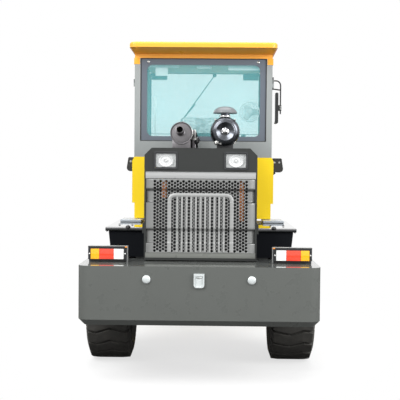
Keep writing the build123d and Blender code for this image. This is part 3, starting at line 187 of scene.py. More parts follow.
def paint(name, slot, colour, gloss=0.3, coat=0.5, shift=0.05, dust=0.35, chipped=0.5, metal=0.0, spec=0.5,
          wet=0.12, above=None, polished_above=None):
    """Sprayed enamel: faint colour drift, orange peel, settled dust low down and worn edges."""
    graph = Graph(name)
    base = graph.mix(graph.noise(2.2, 4.0), tint(colour, 1 - 2.2 * shift), tint(colour, 1 + shift))
    if above:
        base = graph.mix(graph.higher_than(above[0]), base, above[1])
    dusty = tuple(d * dust + c * (1 - dust) for d, c in zip(DUST, colour))
    base = graph.mix(graph.dust_mask(), base, dusty)
    base = graph.mix(graph.worn_edges(chipped), base, tint(colour, 0.45))
    rough = graph.ramp(graph.noise(9.0, 6.0, 0.62), ((0.3, gloss * 0.75), (0.75, min(1, gloss * 1.45))))
    graph.set(Base_Color=base, Roughness=rough, Metallic=metal, Coat_Weight=coat, Coat_Roughness=wet)
    graph.set(Specular_IOR_Level=spec)
    if polished_above:
        top = graph.higher_than(polished_above)
        graph.set(Coat_Weight=top, Specular_IOR_Level=top,
                  Roughness=graph.mix(top, rough, (0.04, 0.04, 0.04)))
    graph.bump(graph.noise(170.0, 2.0), 0.05, 0.0006)
    return graph.finish(slot)


def ribbed(name, slot, colour, rear, gloss=0.36):
    """The grille's enamel: full colour where the sheet stands out, with painted shade on the slopes of its
    belts.
    """
    graph = Graph(name)
    # painted shade: the colour drops to about 0.4 on the belts' slopes, where their ledges shade the sheet
    painted_shade_stops = ((0.0, 1.0), (0.42, 1.0), (0.52, 0.40), (0.90, 0.36), (0.985, 0.95))
    depth = graph.spread(graph.along("Y"), rear, rear + 0.024)
    base = graph.ramp(depth, [(at, tint(colour, share)) for at, share in painted_shade_stops])
    base = graph.mix(graph.noise(3.0, 4.0), base, (0.9, 0.9, 0.9), "MULTIPLY")
    rough = graph.ramp(graph.noise(9.0, 6.0, 0.62), ((0.3, gloss * 0.85), (0.75, min(1, gloss * 1.3))))
    graph.set(Base_Color=base, Roughness=rough, Metallic=0.2, Coat_Weight=0.15, Coat_Roughness=0.12)
    graph.bump(graph.noise(170.0, 2.0), 0.05, 0.0006)
    return graph.finish(slot)


def plastic(name, slot, colour, gloss=0.5, grain=0.25):
    """Moulded plastic with a fine leather-like grain."""
    graph = Graph(name)
    rough = graph.ramp(graph.noise(18.0, 5.0), ((0.3, gloss * 0.85), (0.7, min(1, gloss * 1.2))))
    graph.set(Base_Color=graph.mix(graph.noise(6.0, 5.0), tint(colour, 0.8), tint(colour, 1.15)),
              Roughness=rough)
    graph.bump(graph.noise(700.0, 2.0), grain, 0.0004)
    return graph.finish(slot)


def metal(name, slot, colour, gloss=0.3, brushed=None, stain=0.25):
    """Bare metal; brushed gives the stretch of its fine lines."""
    graph = Graph(name)
    patch = graph.ramp(graph.noise(7.0, 6.0), ((0.35, 0.0), (0.7, 1.0)))
    lines = graph.noise(90.0, 3.0, stretch=brushed) if brushed else graph.noise(30.0, 5.0)
    rough = graph.ramp(lines, ((0.3, gloss * 0.7), (0.75, min(1, gloss * 1.5))))
    graph.set(Base_Color=graph.mix(patch, colour, tint(colour, 1 - stain)), Roughness=rough, Metallic=1.0)
    graph.bump(lines, 0.06, 0.0005)
    return graph.finish(slot)


def rubber(name, slot, colour, dirt=0.5):
    """Rubber: dull, with dried dirt in patches and a pebbled face."""
    graph = Graph(name)
    base = graph.mix(graph.noise(9.0, 6.0, 0.6), tint(colour, 0.7), tint(colour, 1.35))
    patch = graph.ramp(graph.noise(14.0, 8.0, 0.7), ((0.5, 0.0), (0.78, dirt)))
    rough = graph.ramp(graph.noise(25.0, 4.0), ((0.3, 0.62), (0.7, 0.88)))
    graph.set(Base_Color=graph.mix(patch, base, (0.10, 0.093, 0.08)), Roughness=rough)
    graph.bump(graph.noise(220.0, 4.0), 0.35, 0.0012)
    return graph.finish(slot)


def glass(name, slot, colour, alpha=0.3):
    """A tinted pane, seen through; dust and wipes vary how clear it is."""
    graph = Graph(name)
    stops = ((0.3, alpha * 0.95), (0.75, min(1, alpha * 1.08)))
    smear = graph.ramp(graph.noise(3.0, 5.0, stretch=(1, 1, 0.5)), stops)
    clear = graph.node("ShaderNodeSeparateColor", Color=smear).outputs[0]
    rough = graph.ramp(graph.noise(40.0, 4.0), ((0.3, 0.02), (0.8, 0.09)))
    graph.set(Base_Color=colour, Roughness=rough, Alpha=clear, Specular_IOR_Level=0.9)
    return graph.finish(slot)


def lens(name, slot, colour, cell=0.012, clear=0.15):
    """A moulded lamp lens: coloured plastic with a fine grid of prisms, glowing faintly in its own colour by
    clear.
    """
    graph = Graph(name)
    grid = graph.node("ShaderNodeTexVoronoi", Scale=1 / cell, Randomness=0.0, Vector=graph.place)
    grid.distance = "CHEBYCHEV"
    base = graph.mix(grid.outputs["Distance"], tint(colour, 1.15), tint(colour, 0.7))
    rough = graph.ramp(graph.noise(50.0), ((0.3, 0.06), (0.8, 0.2)))
    graph.set(Base_Color=base, Roughness=rough, Coat_Weight=0.8, Emission_Color=colour,
              Emission_Strength=clear)
    graph.bump(grid.outputs["Distance"], 0.5, 0.002)
    return graph.finish(slot)


def cloth(name, slot, colour):
    """Woven seat cloth: crossed threads, with a faint sheen."""
    graph = Graph(name)
    threads = []
    for direction in "XZ":
        wave = graph.node("ShaderNodeTexWave", Scale=260.0, Distortion=0.4, Vector=graph.place)
        wave.bands_direction = direction
        threads.append(wave.outputs["Color"])
    weave = graph.mix(0.5, *threads, "DIFFERENCE")
    worn = graph.mix(graph.noise(7.0, 5.0), tint(colour, 0.75), tint(colour, 1.5))
    graph.set(Base_Color=graph.mix(weave, worn, tint(colour, 0.55)), Roughness=0.95, Sheen_Weight=0.3)
    graph.bump(weave, 0.4, 0.0008)
    return graph.finish(slot)


def wrapped(name, slot, colour):
    """Crumpled clear film over seat cloth: painted highlights along the creases, with the cloth dimming the
    film between them.
    """
    graph = Graph(name)
    folds = graph.noise(9.0, 5.0, 0.62, stretch=(1, 1, 1.6))
    crease_highlight = graph.ramp(folds, ((0.40, 0.0), (0.50, 1.0), (0.58, 0.15)))
    rough = graph.ramp(graph.noise(30.0), ((0.3, 0.2), (0.8, 0.4)))
    # painted highlight: the film's colour is lifted along the creases
    graph.set(Base_Color=graph.mix(crease_highlight, tint(colour, 0.62), tint(colour, 1.35)), Roughness=rough,
              Coat_Weight=0.5)
    graph.bump(folds, 0.9, 0.02)
    return graph.finish(slot)


CAB_WAIST = high_of("cab_base").z
HEADER = low_of("cab_roof").z - 0.037  # where the cab frame's grey gives way to the roof's yellow, painted darker as the roof's shade
# the roof's colour is a darker, more orange copy of the body's yellow: painted shade of the roof's edge, its
# underside and the header beneath it
BODY_COLOUR, SHADED_ROOF_COLOUR = (1.0, 0.70, 0.012), (1, 0.432, 0.044)
BODY_ENAMEL = {"gloss": 0.36, "coat": 0.10, "shift": 0.012, "dust": 0.2, "chipped": 0.3, "spec": 0.3}
YELLOW = paint("yellow_enamel", "yellow_paint", BODY_COLOUR, **BODY_ENAMEL)
SHADED_ROOF_YELLOW = paint("shaded_roof_enamel", "yellow_paint", SHADED_ROOF_COLOUR, gloss=0.34, coat=0.15, shift=0.02, dust=0.0,
                    chipped=0.15, spec=0.3)
GREY = paint("grey_enamel", "grey_paint", (0.285, 0.305, 0.302), gloss=0.38, coat=0.2, shift=0.04, dust=0.1,
             above=(HEADER, SHADED_ROOF_COLOUR))
DOOR_PAINT = paint("door_enamel", "yellow_paint", BODY_COLOUR, above=(CAB_WAIST, (0.16, 0.175, 0.175)),
                   **BODY_ENAMEL)
DARK = paint("chassis_enamel", "dark_paint", (0.030, 0.030, 0.032), gloss=0.5, coat=0.1, dust=0.35)
BLACK = paint("black_enamel", "black_paint", (0.008, 0.008, 0.009), gloss=0.35, coat=0.1, dust=0.02,
              shift=0.02, chipped=0.1, spec=0.12)
FENDER_BLACK = paint("fender_enamel", "black_paint", (0.010, 0.011, 0.013), gloss=0.5, coat=0.0, dust=0.0,
                     shift=0.02, chipped=0.0, spec=0.05, wet=0.02,
                     polished_above=high_of("rear_fenders").z - 0.030)
CHARCOAL = paint("charcoal_enamel", "charcoal_paint", (0.027, 0.029, 0.028), gloss=0.42, coat=0.05, dust=0.08,
                 spec=0.32)
WEIGHT = paint("counterweight_enamel", "counterweight_paint", (0.118, 0.126, 0.118), gloss=0.30, coat=1.0,
               shift=0.04, dust=0.04, wet=0.02)
SILVER = paint("silver_enamel", "silver_paint", (0.31, 0.315, 0.31), gloss=0.36, coat=0.15, metal=0.2,
               dust=0.02, shift=0.03, chipped=0.15)
RIBBED_SILVER = ribbed("grille_enamel", "silver_paint", (0.25, 0.255, 0.25), low_of("hood").y - 0.0115)
# painted highlight: the ribs and arch, pressed from the same sheet, are painted lighter than the sheet's
# silver
LIT_RIB_SILVER = paint("lit_rib_enamel", "silver_paint", (0.37, 0.375, 0.37), gloss=0.36, coat=0.15, metal=0.2,
                   dust=0.02, shift=0.05, chipped=0.2)
RIM_PAINT = paint("rim_enamel", "rim_paint", (0.85, 0.42, 0.02), gloss=0.35, coat=0.4, dust=0.5)
IRON = paint("engine_enamel", "engine_iron", (0.06, 0.062, 0.065), gloss=0.6, coat=0.0, dust=0.4)
STEEL = metal("muffler_steel", "muffler_steel", (0.27, 0.26, 0.27), gloss=0.38, brushed=(1, 0.05, 1))
CLEANER = metal("cleaner_steel", "cleaner_paint", (0.13, 0.138, 0.155), gloss=0.26, stain=0.3)
CHROME = metal("chrome", "silver_paint", (0.78, 0.78, 0.79), gloss=0.08, brushed=(1, 0.1, 1), stain=0.05)
ZINC = metal("zinc_bolts", "silver_paint", (0.62, 0.62, 0.60), gloss=0.32)
PLATE_METAL = paint("bright_plate", "bright_plate", (0.70, 0.745, 0.745), gloss=0.25, coat=0.4, dust=0.05,
                    metal=0.1)
TYRE = rubber("tyre_rubber", "tyre_rubber", (0.055, 0.053, 0.048))
SEAL = rubber("window_seal", "black_plastic", (0.03, 0.032, 0.034), dirt=0.15)
HOSE = rubber("hose_rubber", "black_plastic", (0.018, 0.018, 0.018), dirt=0.2)
BLACK_PLASTIC = plastic("black_plastic", "black_plastic", (0.022, 0.022, 0.023))
TRIM_PLASTIC = plastic("trim_plastic", "black_plastic", (0.055, 0.075, 0.085), gloss=0.4)
WHITE_PLASTIC = plastic("white_plastic", "white_plastic", (0.80, 0.81, 0.80), gloss=0.35, grain=0.08)
LINING = plastic("lining_plastic", "white_plastic", (0.80, 0.82, 0.82), gloss=0.7, grain=0.4)
DIAL_FACE = plastic("dial_face", "black_plastic", (0.02, 0.02, 0.025), gloss=0.25, grain=0.02)
LAMP_HOUSING = plastic("lamp_housing", "lamp_plastic", (0.03, 0.032, 0.034), gloss=0.3, grain=0.1)
WINDOW = glass("window_glass", "window_glass", (0.22, 0.66, 0.70), alpha=0.20)
BORDER = paint("window_border", "window_glass", (0.10, 0.12, 0.15), gloss=0.12, coat=0.6, dust=0.0,
               shift=0.03, chipped=0.0)
CLEAR_LENS = lens("clear_lens", "lamp_glass", (0.62, 0.65, 0.66), cell=0.014, clear=0.05)
AMBER_LENS = lens("amber_lens", "lamp_glass", (0.95, 0.44, 0.005), cell=0.008, clear=0.10)
RED_LENS = lens("red_lens", "lamp_glass", (0.78, 0.055, 0.022), cell=0.008, clear=0.12)
WHITE_LENS = lens("white_lens", "lamp_glass", (0.84, 0.85, 0.83), cell=0.008, clear=0.08)
REFLECTOR = metal("lamp_reflector", "lamp_glass", (0.82, 0.83, 0.84), gloss=0.10, stain=0.03)
SEAT_CLOTH = cloth("seat_cloth", "seat_fabric", (0.035, 0.036, 0.04))
MIRROR_FACE = metal("mirror_face", "lamp_glass", (0.85, 0.87, 0.88), gloss=0.03)
BAND_METAL = paint("band_enamel", "silver_paint", (0.43, 0.435, 0.435), gloss=0.3, coat=0.2, metal=0.2,
                   dust=0.02, shift=0.03)
FRAME_METAL = paint("frame_enamel", "silver_paint", (0.165, 0.172, 0.158), gloss=0.3, coat=0.3, dust=0.05)
ORANGE = paint("orange_enamel", "yellow_paint", (0.34, 0.10, 0.012), gloss=0.5, dust=0.1)
# the reflex strip keeps lens()'s default glow of 0.15: a painted glow for the light it throws back, though it
# is no lamp
REFLEX = lens("reflex_orange", "lamp_glass", (0.85, 0.30, 0.03), cell=0.004)
LAMP_BOWL = plastic("lamp_bowl", "lamp_glass", (0.74, 0.75, 0.75), gloss=0.16, grain=0.02)
LAMP_RING = plastic("lamp_ring", "lamp_glass", (0.16, 0.165, 0.17), gloss=0.3, grain=0.02)
LAMP_SHELL = plastic("lamp_shell", "lamp_plastic", (0.50, 0.52, 0.52), gloss=0.25, grain=0.05)
COVER_GLASS = glass("lamp_cover_glass", "lamp_glass", (0.85, 0.88, 0.88), alpha=0.08)
SOOT = plastic("soot", "muffler_steel", (0.006, 0.006, 0.006), gloss=0.9, grain=0.3)
CLEANER_DARK = metal("cleaner_neck_steel", "cleaner_paint", (0.16, 0.17, 0.20), gloss=0.35, stain=0.3)
HAT = plastic("rain_cap_plastic", "cleaner_paint", (0.155, 0.165, 0.175), gloss=0.38, grain=0.05)
SEAT_WRAP = wrapped("seat_wrap", "seat_fabric", (0.46, 0.50, 0.50))
LID_GREY = paint("lid_enamel", "grey_paint", (0.42, 0.46, 0.50), gloss=0.25, coat=0.4, shift=0.04, dust=0.1)

# ---------------------------------------------------------------- mesh code


class Mesh:
    """One piece's mesh, built up in the row frame and then made into an object."""

    def __init__(self):
        self.bm = bmesh.new()

    def place(self, points, matrix=Matrix()):
        return [self.bm.verts.new(matrix @ Vector(point)) for point in points]

    def join(self, lower, upper, closed=True):
        """Faces between two lines of as many points."""
        count = len(lower)
        for k in range(count if closed else count - 1):
            n = (k + 1) % count
            corners = list(dict.fromkeys([lower[k], lower[n], upper[n], upper[k]]))
            if len(corners) > 2:
                self.bm.faces.new(corners)

    def close(self, first, last):
        """The two end faces of a run of rings."""
        self.bm.faces.new(list(reversed(first)))
        self.bm.faces.new(last)

    def box(self, low, high, bevel=0.004, segments=2, matrix=Matrix()):
        """A box between two opposite corners, with every edge rounded."""
        low, high = Vector(map(min, low, high)), Vector(map(max, low, high))
        made = bmesh.ops.create_cube(self.bm, size=1.0)["verts"]
        middle, size = (low + high) / 2, high - low
        for vert in made:
            vert.co = matrix @ (middle + Vector(c * s for c, s in zip(vert.co, size)))
        self.round_edges(made, bevel, segments)
        return self

    def round_edges(self, verts, bevel, segments):
        if bevel > 0:
            edges = list({edge for vert in verts for edge in vert.link_edges})
            bmesh.ops.bevel(
                self.bm, geom=edges, offset=bevel, segments=segments, profile=0.6,
                affect="EDGES", clamp_overlap=True,
            )

    def prism(self, outline, depth, matrix=Matrix(), bevel=0.0, segments=2):
        """A flat outline in the matrix's XY plane, thickened along its Z by the depth."""
        lower, upper = (self.place([(x, y, z) for x, y in outline], matrix) for z in (0, depth))
        self.close(lower, upper)
        self.join(lower, upper)
        self.round_edges(lower + upper, bevel, segments)
        return self

    def lathe(self, profile, matrix, segments=48):
        """Turns pairs of radius and height about the matrix's Z axis; a zero radius closes an end."""
        rings = []
        for radius, height in profile:
            if radius < 1e-6:
                rings.append(self.place([(0, 0, height)], matrix) * segments)
            else:
                rings.append(self.place(circle(radius, height, segments), matrix))
        for lower, upper in zip(rings, rings[1:]):
            self.join(lower, upper)
        return self

    def tube(self, points, radius, segments=12, closed=False):
        """A round bar along points, its ends closed; corners come rounded if the points are."""
        points = [Vector(point) for point in points]
        count = len(points)
        side = None
        rings = []
        for k, point in enumerate(points):
            before = points[k - 1] if k or closed else point
            after = points[(k + 1) % count] if k + 1 < count or closed else point
            along = (after - before).normalized()
            if side is None:
                side = along.orthogonal().normalized()
            side = (side - along * side.dot(along)).normalized()
            up = along.cross(side)
            turns = (tau * j / segments for j in range(segments))
            rings.append([self.bm.verts.new(point + (side * cos(t) + up * sin(t)) * radius) for t in turns])
        for lower, upper in zip(rings, rings[1:] + rings[:1] if closed else rings[1:]):
            self.join(lower, upper)
        if not closed:
            self.close(rings[0], rings[-1])
        return self

    def hoop(self, matrix, radius, height, bar, count, segments=8):
        """A bar bent to a circle round the matrix's Z axis."""
        return self.tube([matrix @ point for point in circle(radius, height, count)], bar, segments,
                         closed=True)

    def plate(self, outer, inner, depth, matrix):
        """A flat frame between two outlines with as many points, thickened along the matrix's Z."""
        levels = []
        for height in (0, depth):
            levels.append([self.place([(x, y, height) for x, y in line], matrix) for line in (outer, inner)])
        (low_out, low_in), (high_out, high_in) = levels
        for first, second in ((low_in, low_out), (low_out, high_out), (high_out, high_in), (high_in, low_in)):
            self.join(first, second)
        return self

    def bolt(self, point, direction, size=0.012):
        """A hexagon head with its bevelled crown on a washer, standing out along a direction."""
        matrix = frame_at(point, direction)
        self.lathe(((0, 0), (size * 1.25, 0), (size * 1.25, size * 0.16), (0, size * 0.16)), matrix, 20)
        crown = ((size, 0), (size, size * 0.6), (size * 0.86, size * 0.78), (0, size * 0.78))
        return self.lathe(crown, matrix, 6)

    def make(self, name, material, *nodes, body="rear_frame", slot=None, sharp=35, bevel=None):
        """Makes the object, rides it on its body and hides the CAD nodes that it stands for."""
        bmesh.ops.remove_doubles(self.bm, verts=self.bm.verts, dist=1e-6)
        bmesh.ops.recalc_face_normals(self.bm, faces=self.bm.faces)
        mesh = bpy.data.meshes.new(name)
        self.bm.to_mesh(mesh)
        self.bm.free()
        mesh.shade_smooth()
        mesh.set_sharp_from_angle(angle=radians(sharp))
        made = bpy.data.objects.new(name, mesh)
        bpy.context.scene.collection.objects.link(made)
        mesh.materials.append(material)
        if bevel:
            soften(made, bevel)
        slot = slot or SLOTS[material.name]
        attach(made, body)
        if nodes:
            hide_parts(*nodes)
        return made


def frame_at(point, direction, across=None):
    """A matrix at a point whose Z runs along a direction, and whose X lies near another one."""
    z = Vector(direction).normalized()
    x = Vector(across) if across else z.orthogonal()
    x = (x - z * x.dot(z)).normalized()
    y = z.cross(x)
    return Matrix(((x.x, y.x, z.x, point[0]), (x.y, y.y, z.y, point[1]), (x.z, y.z, z.z, point[2]),
                   (0, 0, 0, 1)))


def rearward(x, y, z):
    """A matrix that faces the rear, with its X to the right and its Y up."""
    return frame_at((x, y, z), REAR, RIGHT)


def circle(radius, height, count, first=0.0):
    """Points evenly round the Z axis, from a share of one step on."""
    turns = (tau * (k + first) / count for k in range(count))
    return [Vector((radius * cos(turn), radius * sin(turn), height)) for turn in turns]


def soften(piece, width):
    """Rounds a piece's sharp edges with a modifier."""
    made = piece.modifiers.new("soft_edges", "BEVEL")
    made.width = width
    made.segments = 2
    made.limit_method = "ANGLE"
    made.angle_limit = radians(30)
    made.harden_normals = True


def rounded(points, radius, steps=5):
    """The same line of points with each inner corner turned round."""
    points = [Vector(point) for point in points]
    made = [points[0]]
    for before, corner, after in zip(points, points[1:], points[2:]):
        reach = min(radius, (before - corner).length / 2, (after - corner).length / 2)
        start = corner + (before - corner).normalized() * reach
        end = corner + (after - corner).normalized() * reach
        for k in range(steps + 1):
            t = k / steps
            made.append(start * (1 - t) ** 2 + corner * 2 * t * (1 - t) + end * t**2)
    return made + [points[-1]]


def round_rect(width, height, radius, steps=5):
    """A rectangle's outline with round corners, from the lower left one anticlockwise."""
    made = []
    for sx, sy, start in ((-1, -1, 180), (1, -1, 270), (1, 1, 0), (-1, 1, 90)):
        cx, cy = sx * (width / 2 - radius), sy * (height / 2 - radius)
        for k in range(steps + 1):
            turn = radians(start + 90 * k / steps)
            made.append((cx + radius * cos(turn), cy + radius * sin(turn)))
    return made


# ---------------------------------------------------------------- finishes of the CAD nodes

FINISHES = (
    (YELLOW, 0.005, "cab_base"),
    (YELLOW, 0.004, "boom bucket_link"),
    (YELLOW, 0.003, "front_chassis bell_crank bucket"),
    (YELLOW, 0.002, "lift_barrels tilt_barrel steer_barrel_left steer_barrel_right"),
    (CHROME, 0.001, "lift_rods tilt_rod steer_rod_left steer_rod_right"),
    (DOOR_PAINT, 0.004, "door_left door_right"),
    (GREY, 0.005, "cab_frame"),
    (SHADED_ROOF_YELLOW, 0.003, "cab_roof"),
    (WINDOW, 0.001, "rear_window windshield quarter_windows door_left_glass door_right_glass"),
    (CHARCOAL, 0.004, "hood side_tanks"),
    (WEIGHT, 0.008, "counterweight"),
    (PLATE_METAL, 0.002, "hitch_plate"),
    (SILVER, 0.001, "grille"),
    (SOOT, 0.004, "radiator"),
    (IRON, 0.012, "engine"),
    (STEEL, 0.003, "muffler"),
    (CLEANER, 0.003, "air_cleaner"),
    (DARK, 0.003, "rear_chassis"),
    (DARK, 0.006, "rear_axle front_axle"),
    (FENDER_BLACK, 0.002, "rear_fenders"),
    (BLACK, 0.002, "front_fenders"),
    (BLACK, 0.003, "cab_steps"),
    (REFLECTOR, 0.003, "work_lamps"),
    (LAMP_HOUSING, 0.002, "tail_lamps"),
    (LAMP_HOUSING, 0.01, "roof_lamps"),
    (BLACK_PLASTIC, 0.008, "head_lamps"),
    (BLACK_PLASTIC, 0.01, "mirror"),
    (BLACK_PLASTIC, 0.004, "control_levers steering_column"),
    (BLACK_PLASTIC, 0.006, "seat_base"),
    (SEAT_CLOTH, 0.004, "seat_cushion seat_back"),
    (WHITE_PLASTIC, 0.002, "cab_fan"),
    (TYRE, 0.006, "tyre_front_left tyre_front_right tyre_rear_left tyre_rear_right"),
    (RIM_PAINT, 0.003, "rim_front_left rim_front_right rim_rear_left rim_rear_right"),
)
for material, edge, names in FINISHES:
    for node in names.split():
        piece = NODES[node]
        piece.data.materials.clear()
        piece.data.materials.append(material)
        flat = piece.modifiers.new("flat_faces", "DECIMATE")
        flat.decimate_type = "DISSOLVE"
        flat.angle_limit = radians(1.0)
        soften(piece, edge)

# ---------------------------------------------------------------- grille

HOOD_REAR = low_of("hood").y  # the rear face of the hood's shell
COLUMN, ROW, HOLE = 0.0227, 0.0262, 0.0110
COLUMNS, ROWS = 33, 22
HOLES_LEFT, HOLES_BOTTOM = -COLUMNS / 2 * COLUMN, 0.9995
HOLES_TOP = HOLES_BOTTOM + ROWS * ROW
SHEET = 0.0025
SHEET_FACE = HOOD_REAR - SHEET
SHEET_HALF = 0.4315
SHEET_LOW, SHEET_HIGH = low_of("grille").z + 0.002, high_of("grille").z - 0.002
BELTS = ((1.074, 1.192), (1.397, 1.509))  # heights of the two set-back belts
BELT_DEPTH = 0.015
BELT_STEP, BELT_SLOPE = 0.003, 0.022  # heights of the slopes at a belt's lower and upper edges
ARCH_OUTER, ARCH_BAND, ARCH_TOP, ARCH_CORNER, ARCH_PROUD = 0.262, 0.030, 1.470, 0.05, 0.008
RIB_COUNT, RIB_PITCH, RIB_WIDTH, RIB_PROUD = 11, 0.037, 0.0165, 0.007
STRIP_FOOT = 1.004


def belt_depth(z):
    """How far the pressed sheet is set back at a height: two belts, whose upper edges slope."""
    depth = 0.0
    for low, high in BELTS:
        rise = min((z - low) / BELT_STEP, (high - z) / BELT_SLOPE)
        depth = max(depth, min(1.0, max(0.0, rise)) * BELT_DEPTH)
    return depth


def cell_outline(w, h):
    """Twelve points round a cell's edge, whose sides' points also fit a neighbour half a row away."""
    side = [(w / 2, 0), (w / 2, h / 4), (w / 2, h / 2), (0, h / 2), (-w / 2, h / 2), (-w / 2, h / 4)]
    return side + [(-x, -z) for x, z in side]


def perforated_sheet():
    """The sheet with its staggered round holes, plain borders and two pressed belts."""
    mesh = Mesh()

    def line(points):
        return mesh.place([(x, SHEET_FACE + belt_depth(z), z) for x, z in points])

    def polygon(points):
        mesh.bm.faces.new(line(points))

    for column in range(COLUMNS):
        middle = HOLES_LEFT + (column + 0.5) * COLUMN
        odd = column % 2
        for row in range(ROWS - odd):
            height = HOLES_BOTTOM + (row + 0.5 + odd / 2) * ROW
            edge = line([(middle + x, height + z) for x, z in cell_outline(COLUMN, ROW)])
            turns = [radians(30 * k) for k in range(12)]
            mesh.join(edge, line([(middle + HOLE * cos(t), height + HOLE * sin(t)) for t in turns]))
        x0, x1 = middle - COLUMN / 2, middle + COLUMN / 2
        low, high = HOLES_BOTTOM, HOLES_TOP
        polygon([(x0, SHEET_LOW), (x1, SHEET_LOW), (x1, low), (middle, low), (x0, low)])
        polygon([(x0, high), (middle, high), (x1, high), (x1, SHEET_HIGH), (x0, SHEET_HIGH)])
        if odd:
            for start, step in ((low, ROW / 4), (high, -ROW / 4)):
                z0, z1, z2 = (start + k * step for k in range(3))
                polygon([(x0, z0), (middle, z0), (x1, z0), (x1, z1), (x1, z2), (middle, z2), (x0, z2),
                         (x0, z1)])
    steps = [SHEET_LOW] + [HOLES_BOTTOM + k * ROW / 4 for k in range(4 * ROWS + 1)] + [SHEET_HIGH]
    for x0, x1 in ((-SHEET_HALF, HOLES_LEFT), (-HOLES_LEFT, SHEET_HALF)):
        for z0, z1 in zip(steps, steps[1:]):
            polygon([(x0, z0), (x1, z0), (x1, z1), (x0, z1)])
    bmesh.ops.remove_doubles(mesh.bm, verts=mesh.bm.verts, dist=1e-5)
    sheet = mesh.make("grille_sheet", RIBBED_SILVER, "grille", sharp=50)
    thick = sheet.modifiers.new("sheet_thickness", "SOLIDIFY")
    thick.thickness = SHEET
    thick.offset = -1.0


def strip_over(path, width, proud, name):
    """A raised strip whose foot follows the pressed sheet; path is a list of (X, Z) points."""
    mesh = Mesh()
    rows = []
    for k, (x, z) in enumerate(path):
        before, after = Vector(path[max(0, k - 1)]), Vector(path[min(len(path) - 1, k + 1)])
        along = (after - before).normalized()
        side = Vector((along.y, -along.x))
        row = []
        for offset, lift in ((-0.5, -0.001), (-0.5, 0.5), (-0.3, 1), (0.3, 1), (0.5, 0.5), (0.5, -0.001)):
            spot = Vector((x, z)) + side * offset * width
            row.append((spot.x, SHEET_FACE + belt_depth(z) - lift * proud, spot.y))
        rows.append(mesh.place(row))
    for lower, upper in zip(rows, rows[1:]):
        mesh.join(lower, upper, closed=False)
    mesh.close(rows[0], rows[-1])
    mesh.make(name, LIT_RIB_SILVER, sharp=50)


def fine(points, step=0.004):
    """The same run of points with none further apart than the step."""
    made = [points[0]]
    for start, end in zip(points, points[1:]):
        parts = max(1, int((Vector(end) - Vector(start)).length / step))
        for k in range(1, parts + 1):
            made.append(tuple(Vector(start).lerp(Vector(end), k / parts)))
    return made


perforated_sheet()
arch_x, arch_top = ARCH_OUTER - ARCH_BAND / 2, ARCH_TOP - ARCH_BAND / 2
arch = [(-arch_x, STRIP_FOOT, 0), (-arch_x, arch_top, 0), (arch_x, arch_top, 0), (arch_x, STRIP_FOOT, 0)]
arch = [(point.x, point.y) for point in rounded(arch, ARCH_CORNER, 8)]
strip_over(fine(arch), ARCH_BAND, ARCH_PROUD, "grille_arch")
for rib in range(RIB_COUNT):
    x = (rib - (RIB_COUNT - 1) / 2) * RIB_PITCH
    run = fine([(x, STRIP_FOOT), (x, ARCH_TOP - ARCH_BAND + 0.004)])
    strip_over(run, RIB_WIDTH, RIB_PROUD, f"grille_rib_{rib + 1}")
baffles = Mesh()
for side in (-1, 1):
    baffles.box((side * 0.343, HOOD_REAR + 0.050, 0.962), (side * 0.444, HOOD_REAR + 0.060, 1.610), 0.002)
baffles.box((-0.430, HOOD_REAR + 0.014, 0.9306), (0.430, HOOD_REAR + 0.030, 0.958), 0.002)
baffles.make("radiator_baffles", SOOT, slot="black_plastic")

# ---------------------------------------------------------------- hood's rear: bands, straps, fins and lamps

BAND_X = 0.437
for name, low, high, coat in (
    ("hood_upper_band", 1.5855, 1.639, BAND_METAL),
    ("hood_lower_frame", 0.956, 1.0000, FRAME_METAL),
):
    band = Mesh().box((-BAND_X, HOOD_REAR - 0.005, low), (BAND_X, HOOD_REAR + 0.001, high), 0.0025)
    band.box((-BAND_X, HOOD_REAR - 0.008, high - 0.004), (BAND_X, HOOD_REAR - 0.002, high), 0.001)
    band.make(name, coat)

straps = Mesh()
for x, low, high in ((-0.293, 1.43, 1.575), (0.325, 1.25, 1.575)):
    straps.box((x - 0.020, HOOD_REAR + 0.030, low), (x + 0.020, HOOD_REAR + 0.072, high), 0.003)
straps.make("radiator_straps", ORANGE)

FIN_COUNT, FIN_PITCH, FIN_LOW, FIN_HALF = 46, 0.012, 1.012, 0.352
CORE_REAR = low_of("radiator").y
core = Mesh()
for row in range(FIN_COUNT):
    z = FIN_LOW + row * FIN_PITCH
    core.box((-FIN_HALF, CORE_REAR - 0.004, z), (FIN_HALF, CORE_REAR + 0.002, z + 0.004), 0)
core.make("radiator_fins", DARK)

WORK_LAMP_X, WORK_LAMP_Z = high_of("work_lamps").x - 0.095, centre("work_lamps").z
LAMP_BACK = HOOD_REAR + 0.016
OVAL = Matrix.Diagonal((1.17, 1, 1, 1))  # a lamp's bowl is wider than it is high
BOWL = (
    (0.0525, 0.002), (0.0525, 0.0075), (0.0505, 0.009), (0.0485, 0.0075), (0.044, 0.0045), (0.032, 0.0015),
    (0.020, 0.0005), (0.014, 0.001), (0.0135, 0.007), (0.011, 0.009), (0.0095, 0.008), (0.0095, 0.003),
    (0, 0.002),
)
BOWL_RINGS = ((0.0490, 0.0085, 0.0011), (0.0345, 0.0025, 0.0009), (0.0122, 0.0090, 0.0012))


